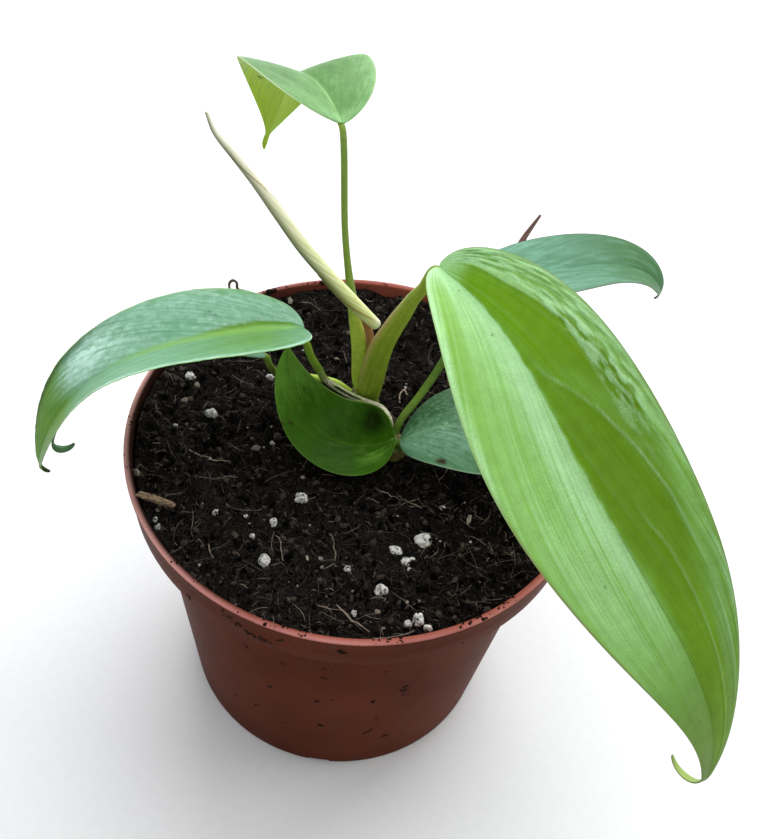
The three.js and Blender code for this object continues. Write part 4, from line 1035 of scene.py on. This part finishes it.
def soil_height(x, y):
    """The solid's surface."""
    waves = (np.sin(x * 0.21 + 1.3) * np.cos(y * 0.17 - 0.4) + 0.6 * np.sin(x * 0.43 - y * 0.31 + 2.1)
             + 0.4 * np.sin(x * 0.71 + y * 0.83))
    return SOIL_LEVEL + SOIL_RELIEF * waves / 2


def crumbly(x, y):
    """The soil's true surface: the solid's height, heaped at the back and left, with lumps and pits."""
    lumps = noise_at(x * 0.16, y * 0.16, 3, 21) - 0.5
    crumbs = noise_at(x * 0.62, y * 0.62, 3, 31) - 0.5
    pits = np.clip(0.42 - noise_at(x * 0.3, y * 0.3, 2, 41), 0, 1)
    inside = step(SOIL_TOP_RADIUS, SOIL_TOP_RADIUS - 2.5, np.hypot(x, y))
    heaped = SOIL_HEAP * step(42, 55, np.hypot(x, y)) * step(0, 28, -0.55 * x + 0.83 * y)
    return (soil_height(x, y) + heaped + 0.4 + 2.0 * lumps + 1.9 * crumbs * (0.5 + 0.5 * inside)
            - 6 * pits * inside)


def icosphere(levels):
    """A ball of radius 1 from triangles, each cut into four once for each level."""
    g = (1 + 5**0.5) / 2
    points = [(-1, g, 0), (1, g, 0), (-1, -g, 0), (1, -g, 0), (0, -1, g), (0, 1, g),
              (0, -1, -g), (0, 1, -g), (g, 0, -1), (g, 0, 1), (-g, 0, -1), (-g, 0, 1)]
    faces = [(0, 11, 5), (0, 5, 1), (0, 1, 7), (0, 7, 10), (0, 10, 11), (1, 5, 9), (5, 11, 4),
             (11, 10, 2), (10, 7, 6), (7, 1, 8), (3, 9, 4), (3, 4, 2), (3, 2, 6), (3, 6, 8), (3, 8, 9),
             (4, 9, 5), (2, 4, 11), (6, 2, 10), (8, 6, 7), (9, 8, 1)]
    points = [np.array(p) / np.linalg.norm(p) for p in points]
    for _ in range(levels):
        middle, finer = {}, []

        def half(a, b):
            key = (min(a, b), max(a, b))
            if key not in middle:
                m = points[a] + points[b]
                points.append(m / np.linalg.norm(m))
                middle[key] = len(points) - 1
            return middle[key]
        for a, b, c in faces:
            ab, bc, ca = half(a, b), half(b, c), half(c, a)
            finer += [(a, ab, ca), (b, bc, ab), (c, ca, bc), (ab, bc, ca)]
        faces = finer
    return np.array(points), np.array(faces)


def scatter(random, count, reach=SOIL_TOP_RADIUS):
    """Places spread evenly over a disc."""
    return polar(reach * np.sqrt(random.random(count)), 2 * np.pi * random.random(count))


def copies(faces, count, each):
    """One small mesh's faces, for that many copies with each points."""
    return (faces[None] + each * np.arange(count)[:, None, None]).reshape(-1, faces.shape[1])


def crumbs(random, x, y, size, raise_by=0.3):
    """Angular bits at the places given, lying on the soil."""
    shape, faces = icosphere(0)
    count, each = len(x), len(shape)
    p = shape[None] * (0.6 + 0.8 * random.random((count, each, 1))) * (0.5 + random.random((count, 1, 3)))
    axes = np.linalg.qr(random.normal(size=(count, 3, 3)))[0]
    p = np.einsum("nij,nkj->nki", axes, p) * size[:, None, None]
    p += np.stack([x, y, crumbly(x, y) + raise_by * size], -1)[:, None]
    return p.reshape(-1, 3), copies(faces, count, each), each


def strands(random, x, y, length, radius, lift):
    """Thin bent threads at the places given, lying on the soil. Three sides, closed by their slim ends."""
    count = len(x)
    share = np.linspace(-0.5, 0.5, STRAND_ROWS)
    heading = 2 * np.pi * random.random(count)[:, None] + (random.random((count, 1)) - 0.5) * 2.6 * share
    heading = heading + (random.random((count, 1)) - 0.5) * 2 * share**2
    stride = length[:, None] / (STRAND_ROWS - 1)
    px = x[:, None] + np.cumsum(np.cos(heading) * stride, 1) - 0.5 * length[:, None] * np.cos(heading[:, :1])
    py = y[:, None] + np.cumsum(np.sin(heading) * stride, 1) - 0.5 * length[:, None] * np.sin(heading[:, :1])
    inward = np.minimum(1, (SOIL_TOP_RADIUS - 0.5) / np.maximum(np.hypot(px, py), 1e-6))
    px, py = px * inward, py * inward
    z = crumbly(px, py)
    z = 0.5 * z + 0.5 * z.mean(1)[:, None] + 0.1 + lift[:, None] * (1 - (2 * share) ** 2)
    r = (radius[:, None] * np.sqrt(np.clip(1.02 - (2 * share) ** 4, 0.02, 1)))[..., None]
    around = 2 * np.pi * np.arange(STRAND_SIDES) / STRAND_SIDES
    flat = np.stack([-np.sin(heading), np.cos(heading), 0 * heading], -1)
    points = (np.stack([px, py, z], -1)[:, :, None] + flat[:, :, None] * (r * np.cos(around))[..., None]
              + np.array([0, 0, 1.0]) * (r * np.sin(around))[..., None])
    each = STRAND_ROWS * STRAND_SIDES
    one = grid_faces(STRAND_ROWS, STRAND_SIDES, closed=True)
    return points.reshape(-1, 3), copies(one, count, each), each


def make_soil_body():
    """The surface, from a square grid drawn out to a disc, and the side and bottom that the pot hides."""
    a, b = np.meshgrid(*[np.linspace(-1, 1, SOIL_GRID)] * 2, indexing="ij")
    wide = np.abs(a) > np.abs(b)
    r, small = np.where(wide, a, b), np.where(wide, b, a)
    angle = np.pi / 4 * small / np.where(np.abs(r) < 1e-9, 1, r)
    angle = np.where(wide, angle, np.pi / 2 - angle)
    x, y = polar(SOIL_TOP_RADIUS * r, angle)
    top = np.stack([x, y, crumbly(x, y)], -1).reshape(-1, 3)
    edge = border(SOIL_GRID, SOIL_GRID)
    points, faces = [top], grid_faces(SOIL_GRID, SOIL_GRID).tolist()
    start, ring = len(top), edge
    for radius, height in SOIL_SIDE:
        scale = radius / SOIL_TOP_RADIUS
        points.append(np.stack([top[edge, 0] * scale, top[edge, 1] * scale, np.full(len(edge), height)], 1))
        lower = start + np.arange(len(edge))
        faces += np.stack([ring, lower, np.roll(lower, -1), np.roll(ring, -1)], 1).tolist()
        start, ring = start + len(edge), lower
    faces.append(ring[::-1].tolist())
    s = Shader("potting_mix", roughness=0.8, Specular_IOR_Level=0.03)
    place = s.place()
    clump, crumb, dust = s.noise(place, 0.25, 4, 0.6), s.noise(place, 1.6, 4, 0.75), s.noise(place, 7, 2, 0.7)
    colour = s.mix(s.span(crumb, 0.42, 0.64), srgb(1, 1, 1), srgb(42, 37, 34))
    colour = s.tone(colour, s.span(clump, 0.36, 0.62, 0.25, 1.6))
    tangle = s.math("ABSOLUTE", s.math("SUBTRACT", s.noise(place, 0.8, 3, 0.65), 0.5))
    threads = s.span(tangle, 0.004, 0.016, 0.8, 0)
    colour = s.mix(threads, colour, srgb(78, 71, 66))
    colour = s.mix(s.span(dust, 0.62, 0.7), colour, srgb(112, 104, 96))
    # Painted shadow of the big leaf: the soil darkens towards the right.
    painted_leaf_shadow = s.span(s.axis(place, 0), 5, 45, 1, 0.45)
    height = s.add(s.add(crumb, s.mul(dust, 0.4)), s.mul(threads, 0.3))
    soil = s.finish(s.tone(colour, painted_leaf_shadow), s.bump(height, 1.0))
    piece("soil_body", np.concatenate(points), faces, soil, node="soil")


def make_crumbs(random):
    x, y = scatter(random, CRUMBS)
    size = 0.16 + 0.75 * random.random(CRUMBS) ** 4
    points, faces, each = crumbs(random, x, y, size)
    s = Shader("crumbs", roughness=0.85, Specular_IOR_Level=0.04)
    tint, rough = s.attribute("tint"), s.noise(s.place(), 3, 3, 0.6)
    colour = s.mix(s.span(tint, 0.3, 0.95), srgb(2, 2, 2), srgb(72, 64, 58))
    colour = s.mix(s.span(tint, 0.97, 0.99), colour, srgb(150, 140, 128))
    material = s.finish(s.tone(colour, s.vary(rough, 0.5, 1.5)), s.bump(rough, 0.2))
    piece("soil_crumbs", points, faces, material, node="soil",
          values=dict(tint=np.repeat(random.random(CRUMBS), each)), smooth=False)


def make_fibres(random):
    """Scattered threads, and those that the photograph shows."""
    x, y = scatter(random, STRANDS)
    length, radius = 1.2 + 8 * random.random(STRANDS) ** 3, 0.035 + 0.07 * random.random(STRANDS) ** 3
    points, faces, each = strands(random, x, y, length, radius, 0.5 * random.random(STRANDS))
    parts = [(points, faces, dict(tint=np.repeat(random.random(STRANDS) ** 1.6, each)))]
    for curve, radius, tint in FIBRES:
        line = curve_through([[*place, 0] for place in curve], 9)
        height = crumbly(line[:, 0], line[:, 1])
        line[:, 2] = np.maximum(height, height.mean()) + 0.4
        points, faces, *_ = tube(np.column_stack([line, np.full(9, radius * 0.75)]), 30, 6)
        parts.append((points + noise_lumps(points, 0.9, 2, 7) * [0.9, 0.9, 0], faces, dict(tint=tint)))
    points, faces, values = merge(parts)
    s = Shader("fibres", roughness=0.7, Specular_IOR_Level=0.2)
    tint, rough = s.attribute("tint"), s.noise(s.place(), 2.5, 2)
    colour = s.mix(s.span(tint, 0.0, 0.6), srgb(26, 22, 20), srgb(84, 72, 64))
    colour = s.mix(s.span(tint, 0.6, 1.0), colour, srgb(158, 144, 130))
    fibres = s.finish(s.tone(colour, s.vary(rough, 0.7, 1.3)), s.bump(rough, 0.1))
    piece("soil_fibres", points, faces, fibres, node="soil", values=values)


def make_perlite(random):
    """Pitted white grains: those that the photograph shows, and small ones between."""
    x, y = scatter(random, GRAINS, SOIL_TOP_RADIUS - 2)
    spots = ([(*spot, 3) for spot in LARGE_GRAINS] + [(*spot, 2) for spot in SMALL_GRAINS]
             + [(*spot, 1) for spot in zip(x, y, 0.15 + 0.3 * random.random(GRAINS))])
    parts = []
    for k, (x, y, size, levels) in enumerate(spots):
        shape, faces = icosphere(levels)
        offset = np.array([13.1 * k, 7.7 * k, 3.3 * k])
        lumps = 0.45 + 1.1 * fractal(shape * 1.1 + offset, 3, 51)[:, None]
        pits = 1 - 0.4 * step(0.55, 0.75, fractal(shape * 2.0 + offset, 2, 61))[:, None]
        shape = shape * lumps * pits * (0.8 + 0.4 * random.random(3))
        z = crumbly(np.array(x), np.array(y)) + 0.25 * size
        parts.append((shape * size + [x, y, z], faces, dict(tint=0.3 + 0.7 * random.random())))
    points, faces, values = merge(parts)
    s = Shader("perlite", roughness=0.8, Specular_IOR_Level=0.2)
    pit = s.noise(s.place(), 0.9, 4, 0.7)
    colour = s.mix(s.span(pit, 0.38, 0.5), srgb(70, 64, 58), srgb(240, 238, 232))
    colour = s.tone(colour, s.span(s.attribute("tint"), 0, 1, 0.6, 1.0))
    perlite = s.finish(colour, s.bump(s.noise(s.place(), 3.5, 3), 0.4))
    piece("perlite", points, faces, perlite, node="soil", values=values)


# Pot
POT_SIDES = 192
# Drain holes and foot slots, in metres as their cutters are
HOLES, HOLE_RING, HOLE_RADIUS, HOLE_DEPTH = 8, 0.026, 0.003, 0.0102
SLOTS, SLOT_RING, SLOT_SIZE = 4, 0.0403, (0.014, 0.006, 0.0032)


def refine(profile, limit):
    """The profile with its long stretches cut into steps of about the limit."""
    out = [profile[0]]
    for a, b in zip(profile, profile[1:]):
        parts = max(1, int(math.dist(a, b) / limit))
        out += [[p + (q - p) * k / parts for p, q in zip(a, b)] for k in range(1, parts + 1)]
    return out


def pot_material():
    """Terracotta-coloured plastic: scuffed wall, paler lip with painted light on its top, a painted glow of
    light at the left of the lip, and an inside painted lighter by light through the plastic and darker
    towards the left by painted shade and dirt.
    """
    s = Shader("nursery_pot", roughness=0.35, Specular_IOR_Level=0.01)
    place = s.place()
    x, z = s.axis(place, 0), s.axis(place, 2)
    broad, fine = s.noise(place, 0.035, 3, 0.5), s.noise(place, 1.2, 3, 0.6)
    smear = s.noise(s.stretch(place, 0.2, 0.2, 0.05), 1, 3)
    colour = s.mix(s.span(broad, 0.3, 0.7), srgb(74, 31, 15), srgb(92, 43, 25))
    colour = s.mix(s.span(smear, 0.5, 0.75, 0, 0.3), colour, srgb(76, 50, 38))
    # The lip: partly its own paler colour, partly painted light where its top faces the lamps.
    lip = s.mix(s.span(broad, 0.35, 0.65), srgb(170, 104, 96), srgb(196, 132, 124))
    colour = s.mix(s.span(s.add(z, s.mul(fine, 0.2)), POT_HEIGHT - 0.4, POT_HEIGHT - 0.05), colour, lip)
    # Painted glow of light through the lip at the left.
    lit = s.mul(s.span(x, -20, -55, 0, 0.6), s.span(z, POT_HEIGHT - 0.6, POT_HEIGHT - 0.2))
    colour = s.mix(lit, colour, srgb(226, 176, 170))
    # The inside: painted lighter for the glow through the thin plastic, and darkened towards the left by
    # painted shade and dirt.
    inside = s.mix(s.span(x, 0, -40, 0, 0.95), srgb(150, 80, 66), srgb(30, 20, 17))
    colour = s.mix(s.attribute("inner"), colour, inside)
    dots = s.mul(s.span(s.cells(place, 0.42), 0.13, 0.09), s.span(s.noise(place, 0.2, 2), 0.5, 0.56))
    colour = s.mix(dots, colour, srgb(20, 11, 9))
    colour = s.tone(colour, s.vary(fine, 0.93, 1.07))
    return s.finish(colour, s.bump(s.add(fine, s.mul(broad, 2)), 0.03), s.vary(fine, 0.36, 0.46))


def base_cutters():
    """Blender cylinders and boxes where the pot's base has drain holes and foot slots."""
    cutters = []
    for k in range(HOLES):
        angle = 2 * math.pi * (k + 0.5) / HOLES
        place = (*polar(HOLE_RING, angle), 0)
        bpy.ops.mesh.primitive_cylinder_add(vertices=32, radius=HOLE_RADIUS, depth=HOLE_DEPTH, location=place)
        cutters.append(bpy.context.object)
    for k in range(SLOTS):
        angle = 2 * math.pi * k / SLOTS
        place = (*polar(SLOT_RING, angle), 0)
        bpy.ops.mesh.primitive_cube_add(size=1, location=place, rotation=(0, 0, angle), scale=SLOT_SIZE)
        cutters.append(bpy.context.object)
    return cutters


def make_pot():
    outer, inner = refine(POT_OUTER, 4), refine(POT_INNER, 6)
    profile = np.array(outer + inner)
    rows = len(profile)
    is_inner = np.concatenate([np.zeros(len(outer)), np.ones(len(inner))])
    a = np.linspace(0, 2 * np.pi, POT_SIDES, endpoint=False)
    radius, height = np.maximum(profile[:, :1], 1e-4), np.broadcast_to(profile[:, 1:], (rows, POT_SIDES))
    points = np.stack([*polar(radius, a), height], -1)
    faces = grid_faces(rows, POT_SIDES, closed=True)[:, ::-1].tolist()
    faces += [cap[::-1] for cap in end_caps(rows, POT_SIDES)]
    made = piece("pot_shell", points.reshape(-1, 3), faces, pot_material(), node="pot",
                 values=dict(inner=np.repeat(is_inner, POT_SIDES)))
    cutters = base_cutters()
    for cutter in cutters:
        cut = made.modifiers.new("cut", "BOOLEAN")
        cut.operation, cut.solver, cut.object = "DIFFERENCE", "EXACT", cutter
    bpy.context.view_layer.update()
    result = bpy.data.meshes.new_from_object(made.evaluated_get(bpy.context.evaluated_depsgraph_get()))
    made.modifiers.clear()
    made.data = result
    for cutter in cutters:
        bpy.data.objects.remove(cutter)
    result.set_sharp_from_angle(angle=math.radians(50))


# Dirt on the pot
LOOSE_SPECKS, LOOSE_LIP_SPECKS = 70, 14


def wall_radius(z):
    return np.interp(z, [1.2, 79.5, 82, 84.5, 94.2], [43.65, 52.75, 53.4, 58.6, 59.45])


def make_dirt():
    """Crumbs of soil on the wall and the lip: those that the photograph shows, and smaller ones anywhere."""
    random = np.random.default_rng(5)
    shape, shape_faces = icosphere(1)
    parts = []

    def crumb(place, outward, size, flat):
        outward = np.asarray(outward, float)
        grown = shape * (0.55 + 0.8 * random.random((len(shape), 1))) * (0.6 + 0.8 * random.random(3))
        grown = grown - outward * (grown @ outward)[:, None] * (1 - flat)
        parts.append((grown * size + place, shape_faces, dict(tint=random.random())))

    loose = [(random.uniform(-180, 180), random.uniform(6, 93)) for _ in range(LOOSE_SPECKS)]
    for k, (azimuth, z) in enumerate(WALL_SPECKS + loose):
        a, r = math.radians(azimuth), wall_radius(z)
        seen = k < len(WALL_SPECKS)
        size = 0.28 + 0.3 * random.random() if seen else 0.1 + 0.18 * random.random()
        for _ in range(3 if seen else 1):
            shift = random.normal(size=2) * 0.45
            b = a + shift[0] / r
            crumb([*polar(r, b), z + shift[1]], [*polar(1, a), 0], size, 0.35)
    for azimuth in LIP_SPECKS + list(random.uniform(-180, 180, LOOSE_LIP_SPECKS)):
        for _ in range(3):
            a, r = math.radians(azimuth + random.normal() * 0.6), 58.3 + 1.4 * random.random()
            size = 0.12 + 0.24 * random.random()
            crumb([*polar(r, a), POT_HEIGHT + 0.03], [0, 0, 1], size, 0.3)
    for x, y in LIP_CLODS:
        crumb([x, y, POT_HEIGHT + 0.2], [0, 0, 1], 0.6 + 0.4 * random.random(), 0.8)
    s = Shader("dirt", roughness=0.9, Specular_IOR_Level=0.1)
    rough = s.noise(s.place(), 3, 3, 0.6)
    colour = s.mix(s.attribute("tint"), srgb(20, 12, 10), srgb(48, 30, 24))
    dirt = s.finish(s.tone(colour, s.vary(rough, 0.6, 1.4)), s.bump(rough, 0.2))
    points, faces, values = merge(parts)
    piece("pot_dirt", points, faces, dirt, node="pot", values=values)


place_camera()
make_studio()
make_leaves()
make_spear()
make_stems()
make_bract()
make_dead_root()
make_bark_chip()
make_soil_body()
soil_random = np.random.default_rng(12)
make_crumbs(soil_random)
make_fibres(soil_random)
make_perlite(soil_random)
make_pot()
make_dirt()
